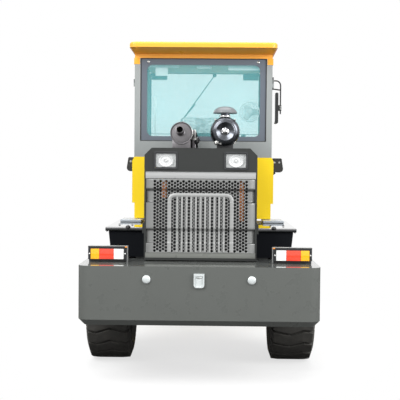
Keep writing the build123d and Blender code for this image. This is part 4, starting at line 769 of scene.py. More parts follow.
def work_lamp(label, x, z):
    """A lamp set into the hood's rear: frame, housing, bowl with its rings, bulb, cover and screws."""
    at_hood, at_bowl = rearward(x, HOOD_REAR, z), rearward(x, LAMP_BACK - 0.001, z)
    rim = Mesh().plate(round_rect(0.190, 0.140, 0.014), round_rect(0.170, 0.120, 0.006), 0.007, at_hood)
    rim.plate(round_rect(0.170, 0.120, 0.010), round_rect(0.160, 0.107, 0.008), 0.021,
              rearward(x, LAMP_BACK, z))
    rim.make(f"work_lamp_rim_{label}", SEAL, slot="lamp_plastic", sharp=40, bevel=0.002)
    low, high = (x - 0.0845, LAMP_BACK - 0.001, z - 0.0595), (x + 0.0845, LAMP_BACK + 0.044, z + 0.0595)
    Mesh().box(low, high, 0.006).make(f"work_lamp_body_{label}", LAMP_SHELL, "work_lamps")
    Mesh().lathe(BOWL, at_bowl @ OVAL, 64).make(f"work_lamp_bowl_{label}", LAMP_BOWL)
    rings = Mesh()
    for radius, height, bar in BOWL_RINGS:
        rings.hoop(at_bowl @ OVAL, radius, height, bar, 56)
    rings.make(f"work_lamp_rings_{label}", LAMP_RING, sharp=60)
    profile = ((0.0065, 0), (0.0065, 0.006), (0.004, 0.0095), (0, 0.011))
    Mesh().lathe(profile, rearward(x, LAMP_BACK - 0.004, z), 20).make(f"work_lamp_bulb_{label}", WHITE_LENS)
    cover = Mesh().prism(round_rect(0.1595, 0.1065, 0.008), 0.0015, rearward(x, HOOD_REAR - 0.001, z))
    cover.make(f"work_lamp_cover_{label}", COVER_GLASS)
    screws = Mesh()
    profile = ((0.004, 0), (0.004, 0.002), (0.002, 0.0035), (0, 0.0035))
    for sx, sz in CORNERS:
        screws.lathe(profile, frame_at((x + sx * 0.070, LAMP_BACK - 0.001, z + sz * 0.042), REAR), 12)
    screws.make(f"work_lamp_screws_{label}", ZINC)


for label, side in SIDES:
    work_lamp(label, side * WORK_LAMP_X, WORK_LAMP_Z)

# ---------------------------------------------------------------- tail lamps

LAMP_OUT, LAMP_TOP = high_of("tail_lamps").x, high_of("tail_lamps").z
LAMP_FACE = low_of("tail_lamps").y
SECTIONS = (("amber", 0.0, 0.068, AMBER_LENS), ("red", 0.068, 0.181, RED_LENS),
            ("white", 0.181, 0.259, WHITE_LENS))


def tail_lamp(label, side):
    """A tail lamp's three lenses, its bracket's edges, a reflex strip and two screws."""
    outer = LAMP_OUT - 0.021
    for colour, start, end, finish in SECTIONS:
        low = (side * (outer - start - 0.0006), LAMP_FACE - 0.007, 0.953)
        high = (side * (outer - end + 0.0006), LAMP_FACE + 0.002, 1.0335)
        Mesh().box(low, high, 0.0025).make(f"tail_lamp_{colour}_{label}", finish)
    trim = Mesh()
    low = (side * (LAMP_OUT - 0.308), LAMP_FACE - 0.001, LAMP_TOP - 0.001)
    trim.box(low, (side * LAMP_OUT, LAMP_FACE + 0.068, LAMP_TOP + 0.001), 0.0006)
    low = (side * (LAMP_OUT - 0.3095), LAMP_FACE - 0.001, 0.931)
    trim.box(low, (side * (LAMP_OUT - 0.3065), LAMP_FACE + 0.068, LAMP_TOP), 0.0006)
    trim.make(f"tail_lamp_bracket_{label}", SILVER)
    low = (side * (LAMP_OUT - 0.3075), LAMP_FACE - 0.003, LAMP_TOP - 0.010)
    high = (side * (LAMP_OUT - 0.290), LAMP_FACE + 0.001, LAMP_TOP - 0.001)
    Mesh().box(low, high, 0.001).make(f"tail_lamp_reflex_{label}", REFLEX)
    screws = Mesh()
    for x in (LAMP_OUT - 0.012, LAMP_OUT - 0.290):
        matrix = frame_at((side * x, LAMP_FACE - 0.0005, 0.995), REAR)
        screws.lathe(((0.006, 0), (0.006, 0.002), (0.0035, 0.0045), (0, 0.005)), matrix, 16)
    screws.make(f"tail_lamp_screws_{label}", WHITE_PLASTIC)


for label, side in SIDES:
    tail_lamp(label, side)

# ---------------------------------------------------------------- counterweight's caps and hitch plate

WEIGHT_REAR = low_of("counterweight").y
CAP_X = high_of("hitch_plate").x - 0.028
CAP = ((0.0315, 0), (0.0315, 0.005), (0.029, 0.009), (0.020, 0.0115), (0.010, 0.0128), (0, 0.013))
for label, side in SIDES:
    cap = Mesh().lathe(CAP, rearward(side * CAP_X, WEIGHT_REAR, 0.831), 40)
    cap.make(f"counterweight_cap_{label}", PLATE_METAL, sharp=50)
lid = Mesh()
for x0, x1 in ((-0.040, -0.018), (-0.012, 0.012), (0.018, 0.040)):
    lid.box((x0, WEIGHT_REAR - 0.0135, 0.862), (x1, WEIGHT_REAR + 0.001, 0.877), 0.003)
lid.make("hitch_hinge", ZINC, slot="bright_plate")
bail = [(x, WEIGHT_REAR - 0.011, z) for x, z in ((-0.020, 0.851), (0, 0.843), (0.022, 0.851))]
Mesh().tube(rounded(bail, 0.01), 0.0022).make("hitch_latch", ZINC, slot="bright_plate")

# ---------------------------------------------------------------- muffler

MUFFLER_RADIUS, MUFFLER_LENGTH = 0.095, 0.380
MUFFLER_X = low_of("muffler").x + MUFFLER_RADIUS
MUFFLER_Z = low_of("muffler").z + 0.142
MUFFLER_REAR = high_of("muffler").y - MUFFLER_LENGTH
HOOD_TOP = high_of("hood").z
DRUM_END = (
    (0, -0.006), (0.045, -0.0065), (0.079, -0.009), (0.085, -0.010), (0.0865, -0.002), (0.0885, 0.0025),
    (0.0925, 0.0032), (0.0948, 0.001), (0.0955, -0.004), (0.0942, -0.009), (0.0938, -0.014),
)
FLANGE = ((0, 0), (0.044, 0), (0.045, 0.002), (0.045, 0.008), (0.044, 0.010), (0, 0.010))


def muffler_drum():
    front_end = [(radius, -MUFFLER_LENGTH - height) for radius, height in reversed(DRUM_END)]
    profile = [*DRUM_END, (0.0948, -0.030), (0.0948, -0.350), *front_end]
    drum = Mesh().lathe(profile, rearward(MUFFLER_X, MUFFLER_REAR, MUFFLER_Z), 72)
    drum.make("muffler_drum", STEEL, "muffler", sharp=40)


def tail_pipe():
    """The pipe out of the drum's rear end, black inside."""
    foot = Vector((MUFFLER_X - 0.004, MUFFLER_REAR + 0.006, MUFFLER_Z + 0.006))
    mouth = Vector((MUFFLER_X - 0.012, MUFFLER_REAR - 0.070, MUFFLER_Z + 0.026))
    run = (mouth - foot).length
    profile = (
        (0.0375, 0.005), (0.0375, 0.011), (0.0335, 0.014), (0.0320, 0.018), (0.0320, run - 0.001),
        (0.0305, run), (0.0290, run), (0.0285, run - 0.002), (0.0280, 0.012), (0, 0.012),
    )
    Mesh().lathe(profile, frame_at(foot, mouth - foot), 40).make("tail_pipe", STEEL, sharp=40)
    inside = frame_at(foot.lerp(mouth, 0.17), mouth - foot)
    soot = Mesh().lathe(((0.0278, 0), (0.0278, run - 0.020)), inside, 32)
    soot.lathe(((0.0278, 0), (0, 0.001)), inside, 32).make("tail_pipe_soot", SOOT)


def muffler_mounts():
    """The cradle on the hood and the two bands round the drum, each with its bolt."""
    cradle = Mesh()
    low = (MUFFLER_X - 0.078, MUFFLER_REAR + 0.030, HOOD_TOP - 0.001)
    cradle.box(low, (MUFFLER_X + 0.078, MUFFLER_REAR + 0.350, MUFFLER_Z - 0.062), 0.005)
    low = (MUFFLER_X - 0.086, MUFFLER_REAR + 0.020, HOOD_TOP)
    cradle.box(low, (MUFFLER_X + 0.086, MUFFLER_REAR + 0.360, HOOD_TOP + 0.006), 0.002)
    cradle.make("muffler_cradle", STEEL)
    for number, station in enumerate((0.085, 0.290)):
        y = MUFFLER_REAR + station
        profile = ((0.0948, 0), (0.0972, 0.001), (0.0972, 0.021), (0.0948, 0.022))
        band = Mesh().lathe(profile, rearward(MUFFLER_X, y, MUFFLER_Z), 64)
        band.bolt((MUFFLER_X + 0.066, y - 0.011, MUFFLER_Z - 0.078), (0.4, 0, -1), 0.008)
        band.make(f"muffler_band_{number + 1}", ZINC, slot="muffler_steel")


def exhaust_riser():
    """The pipe up from the engine beside the drum, with its flanges, shield and sensor."""
    x, y = MUFFLER_X + 0.106, MUFFLER_REAR + 0.190
    points = ((x, y, HOOD_TOP - 0.002), (x, y, MUFFLER_Z + 0.010), (MUFFLER_X + 0.040, y, MUFFLER_Z + 0.014))
    Mesh().tube(rounded(points, 0.045, 8), 0.030, 28).make("exhaust_riser", STEEL)
    flange = Mesh()
    for z in (1.914, 1.9255):
        flange.lathe(FLANGE, frame_at((x, y, z), UP), 36)
    for point in circle(0.037, 1.9355, 4, 0.5):
        flange.bolt(Vector((x, y, 0)) + point, UP, 0.0055)
    flange.make("exhaust_flange", ZINC, slot="muffler_steel")
    shield = Mesh().box((x + 0.004, y - 0.110, 1.935), (x + 0.016, y - 0.034, 2.005), 0.004)
    shield.make("exhaust_shield", ZINC, slot="muffler_steel")
    profile = ((0, 0), (0.016, 0), (0.018, 0.004), (0.018, 0.030), (0.013, 0.034), (0.010, 0.050), (0, 0.052))
    sensor = Mesh().lathe(profile, frame_at((x + 0.010, y - 0.070, 1.888), (0.5, -0.2, 0.4)), 24)
    lead = ((x + 0.010, y - 0.070, 1.895), (x + 0.030, y - 0.060, 1.870),
            (x + 0.020, y - 0.040, HOOD_TOP - 0.002))
    sensor.tube(rounded(lead, 0.02), 0.009).make("exhaust_sensor", BLACK_PLASTIC)


muffler_drum()
tail_pipe()
muffler_mounts()
exhaust_riser()

# ---------------------------------------------------------------- air cleaner

CLEANER_RADIUS, CLEANER_LENGTH = 0.125, 0.400
CLEANER_X = low_of("air_cleaner").x + CLEANER_RADIUS
CLEANER_Z = low_of("air_cleaner").z + 0.159
CLEANER_REAR = high_of("air_cleaner").y - CLEANER_LENGTH
CLEANER_END = rearward(CLEANER_X, CLEANER_REAR, CLEANER_Z)
NECK_Y = CLEANER_REAR + 0.120
NECK_RISE = high_of("air_cleaner").z - CLEANER_Z
SHOULDER = [(0.080 + 0.045 * sin(radians(10 * k)), -0.055 * (1 - cos(radians(10 * k)))) for k in range(1, 10)]
CANISTER = (
    (0, -0.020), (0.024, -0.0205), (0.032, -0.019), (0.050, -0.012), (0.066, -0.004), (0.073, 0.0005),
    (0.0785, 0.002), (0.081, 0.0005), *SHOULDER, (0.125, -0.090), (0.1265, -0.092), (0.1265, -0.096),
    (0.125, -0.098), (0.125, -0.380), (0.116, -0.396), (0.092, -0.400), (0, -0.400),
)
KNOB = ((0.030, -0.021), (0.030, -0.015), (0.024, -0.011), (0.0225, -0.004), (0.018, 0.002), (0.009, 0.006),
        (0, 0.007))
VALVE = (
    (0, 0), (0.018, 0), (0.020, 0.003), (0.020, 0.012), (0.015, 0.016), (0.012, 0.030), (0.006, 0.034),
    (0, 0.034),
)
NECK = (
    (0.046, 0.090), (0.046, 0.116), (0.042, 0.122), (0.040, 0.124), (0.040, NECK_RISE - 0.080),
    (0.0385, NECK_RISE - 0.078), (0.0385, NECK_RISE - 0.046), (0.030, NECK_RISE - 0.044),
)
CLAMP = ((0.0405, -0.079), (0.0485, -0.077), (0.0490, -0.071), (0.0490, -0.066), (0.0480, -0.064),
         (0.0405, -0.062))
RAIN_CAP = (
    (0.034, -0.047), (0.096, -0.0480), (0.1005, -0.0475), (0.1035, -0.0455), (0.1045, -0.0420),
    (0.1025, -0.0370), (0.096, -0.0240), (0.086, -0.0120), (0.068, 0.0010), (0.048, 0.0085), (0.024, 0.0120),
    (0, 0.013),
)


def cleaner_end():
    """The canister with its domed cover, the cover's knob and clips, and the dust valve."""
    Mesh().lathe(CANISTER, CLEANER_END, 88).make("air_cleaner_canister", CLEANER, "air_cleaner", sharp=40)
    knob = Mesh().lathe(KNOB, CLEANER_END, 36)
    for point in circle(0.026, -0.010, 3, 0.75):
        stud = ((0.006, -0.006), (0.006, 0.002), (0.003, 0.005), (0, 0.006))
        knob.lathe(stud, rearward(*(CLEANER_END @ point)), 14)
    knob.make("air_cleaner_knob", CHROME, slot="cleaner_paint", sharp=40)
    clips = Mesh()
    for angle in (228, 312, 130, 50):
        out = Vector((cos(radians(angle)), 0, sin(radians(angle))))
        spot = Vector((CLEANER_X, CLEANER_REAR + 0.060, CLEANER_Z)) + out * 0.1245
        matrix = frame_at(spot, out, RIGHT if abs(out.x) < 0.8 else UP)
        clips.box((-0.009, -0.030, 0), (0.009, 0.030, 0.005), 0.002, matrix=matrix)
        clips.box((-0.006, -0.038, 0.002), (0.006, -0.022, 0.013), 0.002, matrix=matrix)
    clips.make("air_cleaner_clips", ZINC, slot="cleaner_paint")
    foot = Vector((CLEANER_X - 0.070, CLEANER_REAR + 0.030, CLEANER_Z - 0.098))
    valve = Mesh().lathe(VALVE, frame_at(foot, (-0.25, -0.9, -0.3)), 28)
    valve.bolt(foot + Vector((0.032, -0.012, -0.004)), (0.1, -1, -0.1), 0.009)
    valve.make("air_cleaner_valve", ZINC, slot="cleaner_paint")


def cleaner_feet():
    feet = Mesh()
    for station in (0.070, 0.290):
        y = CLEANER_REAR + station
        low = (CLEANER_X - 0.070, y, HOOD_TOP - 0.001)
        feet.box(low, (CLEANER_X + 0.070, y + 0.040, CLEANER_Z - 0.096), 0.003)
        low = (CLEANER_X - 0.092, y - 0.004, HOOD_TOP)
        feet.box(low, (CLEANER_X + 0.092, y + 0.044, HOOD_TOP + 0.006), 0.002)
        profile = ((0.125, 0), (0.1272, 0.001), (0.1272, 0.031), (0.125, 0.032))
        feet.lathe(profile, rearward(CLEANER_X, y + 0.036, CLEANER_Z), 64)
    feet.make("air_cleaner_feet", DARK)


def cleaner_intake():
    """The neck up from the canister, the clamp round it and the rain cap on top."""
    base = frame_at((CLEANER_X, NECK_Y, CLEANER_Z), UP, RIGHT)
    top = base @ Matrix.Translation((0, 0, NECK_RISE))
    Mesh().lathe(NECK, base, 40).make("air_cleaner_neck", CLEANER_DARK)
    clamp = Mesh().lathe(CLAMP, top, 40)
    clamp.bolt((CLEANER_X - 0.046, NECK_Y - 0.012, CLEANER_Z + NECK_RISE - 0.0705), (-1, -0.1, 0), 0.0055)
    clamp.make("air_cleaner_clamp", CHROME, slot="cleaner_paint")
    Mesh().lathe(RAIN_CAP, top, 72).make("air_cleaner_cap", HAT, sharp=50)


cleaner_end()
cleaner_feet()
cleaner_intake()

# ---------------------------------------------------------------- rear window

PANE_LOW, PANE_HIGH = low_of("rear_window"), high_of("rear_window")
PANE_REAR = PANE_LOW.y
HALF_PANE = PANE_HIGH.x - 0.001
PANE_MIDDLE = (PANE_LOW.z + PANE_HIGH.z) / 2
PANE_HEIGHT = PANE_HIGH.z - PANE_LOW.z
BAND, FOOT_BAND = 0.060, 0.046  # the printed border's widths at the top and the sides, and at the foot
outer = round_rect(2 * HALF_PANE, PANE_HEIGHT - 0.002, 0.012, 6)
inner = round_rect(2 * (HALF_PANE - BAND), PANE_HEIGHT - BAND - FOOT_BAND, 0.050, 6)
inner = [(x, z + (FOOT_BAND - BAND) / 2) for x, z in inner]
border = Mesh().plate(outer, inner, 0.0012, rearward(0, PANE_REAR - 0.0002, PANE_MIDDLE))
border.make("rear_window_border", BORDER, sharp=40)
outer = round_rect(2 * HALF_PANE + 0.002, PANE_HEIGHT, 0.014, 6)
inner = round_rect(2 * HALF_PANE - 0.014, PANE_HEIGHT - 0.014, 0.010, 6)
seal = Mesh().plate(outer, inner, 0.006, rearward(0, PANE_REAR - 0.0005, PANE_MIDDLE))
seal.make("rear_window_seal", SEAL, sharp=40)
screws = Mesh()
for x in (-0.505, 0.500):
    spot = frame_at((x, PANE_REAR - 0.001, PANE_HIGH.z - 0.033), REAR)
    screws.lathe(((0.011, 0), (0.011, 0.003), (0.008, 0.005), (0.004, 0.006), (0, 0.006)), spot, 20)
screws.make("rear_window_screws", ZINC)
rail = [(x, PANE_REAR + 0.030, 1.985) for x in (-HALF_PANE + 0.062, HALF_PANE - 0.062)]
Mesh().tube(rail, 0.0025, 10).make("rear_window_rail", BLACK_PLASTIC)
low = (-HALF_PANE + 0.010, PANE_REAR + 0.012, PANE_LOW.z - 0.002)
ledge = Mesh().box(low, (HALF_PANE - 0.010, PANE_REAR + 0.050, PANE_LOW.z + 0.034), 0.006)
ledge.make("rear_window_ledge", TRIM_PLASTIC)

# ---------------------------------------------------------------- seat

BLOW_STEPS = 20


def stuffed(node, name, cap, pressure):
    """A cushion puffed up from its CAD solid: remeshed, blown up as cloth, with its swell held to a cap."""
    piece = bpy.data.objects.new(name, NODES[node].data.copy())
    scene = bpy.context.scene
    scene.collection.objects.link(piece)
    remesh = piece.modifiers.new("even_faces", "REMESH")
    remesh.mode = "VOXEL"
    remesh.voxel_size = 0.006
    even = bpy.data.meshes.new_from_object(piece.evaluated_get(bpy.context.evaluated_depsgraph_get()))
    piece.modifiers.clear()
    piece.data = even
    before = [vert.co.copy() for vert in even.vertices]
    puff = piece.modifiers.new("puff", "CLOTH")
    puff.settings.use_pressure = True
    puff.settings.uniform_pressure_force = pressure
    puff.settings.effector_weights.gravity = 0.0
    puff.settings.quality = 6
    for step in range(1, BLOW_STEPS + 1):
        scene.frame_set(step)
    blown = bpy.data.meshes.new_from_object(piece.evaluated_get(bpy.context.evaluated_depsgraph_get()))
    piece.modifiers.clear()
    for vert, start in zip(blown.vertices, before):
        move = vert.co - start
        if move.length > cap:
            vert.co = start + move * (cap / move.length)
    piece.data = blown
    scene.frame_set(1)
    return piece


for node, name, cap, pressure, cover in (
    ("seat_cushion", "seat_cushion_cover", 0.022, 4.0, SEAT_CLOTH),
    ("seat_back", "seat_back_cover", 0.018, 3.0, SEAT_WRAP),
):
    piece = stuffed(node, name, cap, pressure)
    smooth = piece.modifiers.new("smooth", "SMOOTH")
    smooth.iterations = 4
    smooth.factor = 0.5
    piece.modifiers.new("fine", "SUBSURF").render_levels = 1
    piece.data.materials.clear()
    piece.data.materials.append(cover)
    piece.data.shade_smooth()
    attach(piece, "rear_frame")
    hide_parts(node)

SEAT_REAR, SEAT_FRONT = low_of("seat_cushion").y, high_of("seat_cushion").y
base_low, base_high = low_of("seat_base"), high_of("seat_base")
rests, bellows, slide = Mesh(), Mesh(), Mesh()
for side in (-1, 1):
    x = side * (base_high.x - 0.025)
    rests.box((x - 0.028, base_low.y + 0.070, 1.800), (x + 0.028, base_high.y - 0.120, 1.850), 0.018, 4)
rests.make("seat_arm_pads", BLACK_PLASTIC, sharp=60)
for fold in range(9):
    z = 1.285 + fold * 0.028
    bellows.box((-0.182, SEAT_REAR + 0.035, z), (0.182, SEAT_FRONT - 0.085, z + 0.020), 0.009, 3)
bellows.make("seat_bellows", HOSE, sharp=60)
for side in (-1, 1):
    x = side * 0.20
    slide.tube([(x, SEAT_FRONT - 0.100, 1.552), (x, SEAT_FRONT - 0.010, 1.546)], 0.006, 10)
    slide.box((x - 0.018, SEAT_FRONT - 0.030, 1.536), (x + 0.018, SEAT_FRONT - 0.006, 1.554), 0.006)
slide.make("seat_slide_handles", BLACK_PLASTIC)

# ---------------------------------------------------------------- fan behind the rear window

fan_low, fan_high = low_of("cab_fan"), high_of("cab_fan")
FAN_AT = Vector((fan_low.x + 0.095, fan_low.y + 0.030, centre("cab_fan").z))
FAN = rearward(*FAN_AT)
FAN_RINGS = ((0.093, 0.0, 0.0024), (0.090, 0.016, 0.0014), (0.068, 0.026, 0.0014), (0.045, 0.030, 0.0014),
             (0.090, -0.016, 0.0014))
SPOKE = ((0.024, 0.032), (0.068, 0.027), (0.088, 0.018), (0.093, 0.0), (0.088, -0.018), (0.040, -0.028))
MOTOR = ((0, -0.062), (0.022, -0.060), (0.030, -0.050), (0.032, -0.030), (0.028, -0.022), (0, -0.022))


def spun(matrix, line, turn):
    """Pairs of radius and height as places, turned about the matrix's Z axis."""
    return [matrix @ Vector((radius * cos(turn), radius * sin(turn), height)) for radius, height in line]


def fan_guard():
    guard = Mesh()
    for radius, height, bar in FAN_RINGS:
        guard.hoop(FAN, radius, height, bar, 40)
    for spoke in range(24):
        guard.tube(spun(FAN, SPOKE, tau * spoke / 24), 0.0012, 6)
    guard.lathe(((0, 0.034), (0.020, 0.034), (0.026, 0.031), (0.026, 0.027), (0, 0.027)), FAN, 32)
    guard.lathe(MOTOR, FAN, 32).make("cab_fan_guard", WHITE_PLASTIC, "cab_fan", sharp=50)


def fan_blades():
    """Three broad blades, twisted from one edge to the other, on a hub."""
    blades = Mesh()
    for blade in range(3):
        rows = []
        for k in range(7):
            radius = 0.014 + 0.066 * k / 6
            spread = 0.36 + 0.52 * sin(pi * min(1.0, k / 5.0 + 0.15))
            row = []
            for j in range(7):
                turn = tau * blade / 3 + (j / 6 - 0.5) * 2 * spread
                row.append((radius * cos(turn), radius * sin(turn), 0.011 * (j / 3 - 1) + 0.002))
            rows.append(blades.place(row, FAN))
        for lower, upper in zip(rows, rows[1:]):
            blades.join(lower, upper, closed=False)
    blades.lathe(((0, 0.016), (0.014, 0.014), (0.018, 0.008), (0.018, -0.016), (0, -0.016)), FAN, 28)
    made = blades.make("cab_fan_blades", WHITE_PLASTIC, sharp=60)
    made.modifiers.new("blade_thickness", "SOLIDIFY").thickness = 0.0016


def fan_arm():
    end = (fan_high.x - 0.001, FAN_AT.y + 0.025, FAN_AT.z)
    line = (FAN_AT + Vector((0.0, 0.055, 0.0)), FAN_AT + Vector((0.050, 0.055, -0.004)), end)
    arm = Mesh().tube(rounded(line, 0.03), 0.008, 14)
    arm.lathe(((0, 0), (0.022, 0), (0.022, 0.004), (0.014, 0.008), (0, 0.008)), frame_at(end, (-1, 0, 0)), 24)
    arm.make("cab_fan_arm", WHITE_PLASTIC)


fan_guard()
fan_blades()
fan_arm()

# ---------------------------------------------------------------- steering wheel, column and console

column_low, column_high = low_of("steering_column"), high_of("steering_column")
WHEEL_AT = Vector((0, column_low.y + 0.180, 2.010))
CONSOLE_REAR, CONSOLE_FRONT = column_high.y - 0.110, column_high.y
HUB = ((0, -0.030), (0.036, -0.030), (0.042, -0.020), (0.042, -0.004), (0.034, 0.003), (0.016, 0.006),
       (0, 0.006))
SPINNER = ((0.010, 0), (0.010, 0.018), (0.020, 0.026), (0.023, 0.038), (0.016, 0.050), (0, 0.053))
STALK_END = ((0, 0), (0.009, 0.002), (0.010, 0.022), (0.006, 0.030), (0, 0.031))


def steering_wheel():
    lean = frame_at(WHEEL_AT, (0, -0.200, 0.510), RIGHT)
    wheel = Mesh().hoop(lean, 0.176, 0, 0.0125, 56, 14)
    for turn in (0.08, pi - 0.08, -pi / 2):
        spoke = spun(lean, ((0.030, -0.018), (0.090, -0.016), (0.168, -0.002)), turn)
        wheel.tube(rounded(spoke, 0.03), 0.009, 10)
    wheel.lathe(HUB, lean, 40)
    wheel.lathe(SPINNER, frame_at(lean @ Vector((-0.125, -0.125, 0.013)), lean.col[2].xyz), 24)
    wheel.make("steering_wheel", BLACK_PLASTIC, "steering_column", sharp=45)


def steering_column():
    foot = Vector((0, column_high.y - 0.070, 1.500))
    run = (WHEEL_AT - foot).length
    profile = (
        (0, 0), (0.026, 0), (0.026, run - 0.13), (0.040, run - 0.115), (0.040, run - 0.045),
        (0.022, run - 0.024), (0, run - 0.024),
    )
    column = Mesh().lathe(profile, frame_at(foot, WHEEL_AT - foot), 32)
    for side in (-1, 1):
        start = foot.lerp(WHEEL_AT, 0.84) + Vector((side * 0.036, 0, 0))
        steps = ((0, 0, 0), (side * 0.060, -0.004, 0.010), (side * 0.130, -0.010, 0.026))
        column.tube(rounded([start + Vector(step) for step in steps], 0.03), 0.0055, 10)
        tip = start + Vector((side * 0.125, -0.010, 0.025))
        column.lathe(STALK_END, frame_at(tip, (side, -0.06, 0.18)), 16)
    column.make("steering_column_tube", BLACK_PLASTIC, sharp=40)


def console():
    """The dashboard's housing, with its four dials and a row of switches."""
    rear, front = CONSOLE_REAR, CONSOLE_FRONT
    outline = (
        (rear, 1.252), (rear, 1.700), (rear - 0.016, 1.790), (rear - 0.004, 1.846), (front - 0.020, 1.884),
        (front - 0.001, 1.874), (front - 0.001, 1.252),
    )
    side_on = Matrix(((0, 0, 1, -0.190), (1, 0, 0, 0), (0, 1, 0, 0), (0, 0, 0, 1)))
    Mesh().prism(outline, 0.380, side_on, 0.010, 3).make("dashboard_console", TRIM_PLASTIC, sharp=40)
    bezels, dials, switches = Mesh(), Mesh(), Mesh()
    radius = 0.028
    bezel = ((radius + 0.004, 0), (radius + 0.004, 0.006), (radius, 0.008), (radius - 0.002, 0.005),
             (radius - 0.002, 0))
    for x in (-0.115, -0.045, 0.045, 0.115):
        at = frame_at((x, rear - 0.006, 1.818), (0, -0.97, 0.22))
        bezels.lathe(bezel, at, 32)
        dials.lathe(((radius - 0.002, 0.002), (0, 0.0025)), at, 32)
        needle = at @ Matrix.Rotation(0.6 + 6 * x, 4, "Z")
        dials.box((-0.0012, -0.004, 0.0035), (0.0012, radius * 0.72, 0.0050), 0.0004, 1, needle)
    bezels.make("dial_bezels", CHROME, sharp=40)
    dials.make("dial_faces", DIAL_FACE, sharp=40)
    for k in range(8):
        at = frame_at((-0.14 + 0.04 * k, rear - 0.009, 1.752), (0, -0.97, 0.12), RIGHT)
        switches.box((-0.012, -0.015, -0.002), (0.012, 0.015, 0.006), 0.003, 2, at)
    switches.make("dash_switches", BLACK_PLASTIC)


steering_wheel()
steering_column()
console()

# ---------------------------------------------------------------- cab: pedals, mat, levers, visors, lining

BOOT = (
    (0.026, 0), (0.028, 0.004), (0.021, 0.014), (0.024, 0.020), (0.017, 0.030), (0.020, 0.036),
    (0.012, 0.048), (0.009, 0.054),
)
GRIP = ((0.010, 0), (0.014, 0.004), (0.0215, 0.026), (0.0235, 0.045), (0.020, 0.060), (0.010, 0.068),
        (0, 0.0695))
VISORS = ((-0.520, -0.225, 2.598, 2.664), (-0.445, -0.330, 2.520, 2.600), (0.225, 0.520, 2.575, 2.664))


def pedals():
    made = Mesh()
    for x in (-0.20, 0.10, 0.21):
        at = frame_at((x, CONSOLE_REAR - 0.075, 1.330), (0, -0.72, 0.69), RIGHT)
        made.box((-0.038, -0.050, -0.004), (0.038, 0.050, 0.006), 0.004, 2, at)
        for rib in range(5):
            y = -0.042 + rib * 0.019
            made.box((-0.034, y, 0.004), (0.034, y + 0.008, 0.010), 0.002, 1, at)
        made.tube([(x, CONSOLE_REAR - 0.070, 1.325), (x, CONSOLE_REAR + 0.010, 1.400)], 0.008, 10)
    made.make("pedals", HOSE)


def floor_mat():
    rear, front = column_low.y - 0.030, column_high.y - 0.112
    mat = Mesh().box((-0.46, rear, 1.2495), (0.46, front, 1.258), 0.003)
    for rib in range(46):
        x = -0.45 + rib * 0.02
        mat.box((x - 0.004, rear + 0.01, 1.257), (x + 0.004, front - 0.01, 1.261), 0.0015, 1)
    mat.make("floor_mat", HOSE)


def levers():
    made = Mesh()
    front = high_of("control_levers").y
    for k in range(2):
        x = low_of("control_levers").x + 0.030 + 0.060 * k
        made.lathe(BOOT, frame_at((x, front - 0.084, 1.758), (0, 0.1, 1)), 24)
        made.lathe(GRIP, frame_at((x, front - 0.0655, 1.945), (0, 0.07, 1)), 28)
    made.make("lever_boots_and_knobs", BLACK_PLASTIC, sharp=50)


def cab_lining():
    """The sun visors, the roof's lining with its lamp, the belt guide and the tops of the rear posts."""
    visor = Mesh()
    for outer, inner, low, high in VISORS:
        visor.box((outer, PANE_REAR + 0.050, low), (inner, PANE_REAR + 0.062, high), 0.005, 3)
    visor.make("rear_sun_visors", WHITE_PLASTIC)
    low, high = (-0.565, PANE_REAR + 0.045, 2.664), (0.565, high_of("windshield").y - 0.020, 2.676)
    Mesh().box(low, high, 0.004).make("roof_lining", LINING)
    low, high = (-0.075, PANE_REAR + 0.500, 2.650), (0.075, PANE_REAR + 0.590, 2.666)
    Mesh().box(low, high, 0.007, 3).make("cab_dome_lamp", WHITE_LENS)
    guide = Mesh().box((-0.455, PANE_REAR + 0.060, 2.020), (-0.435, PANE_REAR + 0.070, 2.330), 0.004)
    guide.tube([(-0.445, PANE_REAR + 0.065, z) for z in (1.976, 2.040)], 0.006, 10)
    guide.make("belt_guide", WHITE_PLASTIC)
    tops = Mesh()
    rear = low_of("cab_frame").y
    for side in (-1, 1):
        low = (side * (HALF_PANE + 0.006), rear - 0.0015, 2.620)
        tops.box(low, (side * (high_of("cab_base").x - 0.019), rear + 0.060, HEADER + 0.001), 0.001)
    tops.make("cab_post_tops", SHADED_ROOF_YELLOW)


pedals()
floor_mat()
levers()
cab_lining()

# ---------------------------------------------------------------- rear fenders, mirror and its brackets

fender_low, fender_high = low_of("rear_fenders"), high_of("rear_fenders")
mirror_low, mirror_high = low_of("mirror"), high_of("mirror")


def fender_fittings(label, side):
    low = (side * 0.545, fender_high.y - 0.420, fender_high.z - 0.001)
    lid = Mesh().box(low, (side * 0.735, fender_high.y - 0.080, fender_high.z + 0.022), 0.008, 3)
    lid.make(f"fender_box_lid_{label}", LID_GREY)
    spot = (side * 0.600, fender_low.y + 0.004, fender_high.z - 0.010)
    profile = ((0, 0), (0.017, 0), (0.020, 0.004), (0.020, 0.012), (0.012, 0.019), (0, 0.021))
    knobs = Mesh().lathe(profile, frame_at(spot, (0, -0.4, 1)), 24)
    for k in range(3):
        knobs.bolt((side * (0.480 + 0.110 * k), fender_low.y + 0.300, fender_high.z), UP, 0.008)
    knobs.make(f"fender_fixings_{label}", BLACK_PLASTIC, sharp=40)


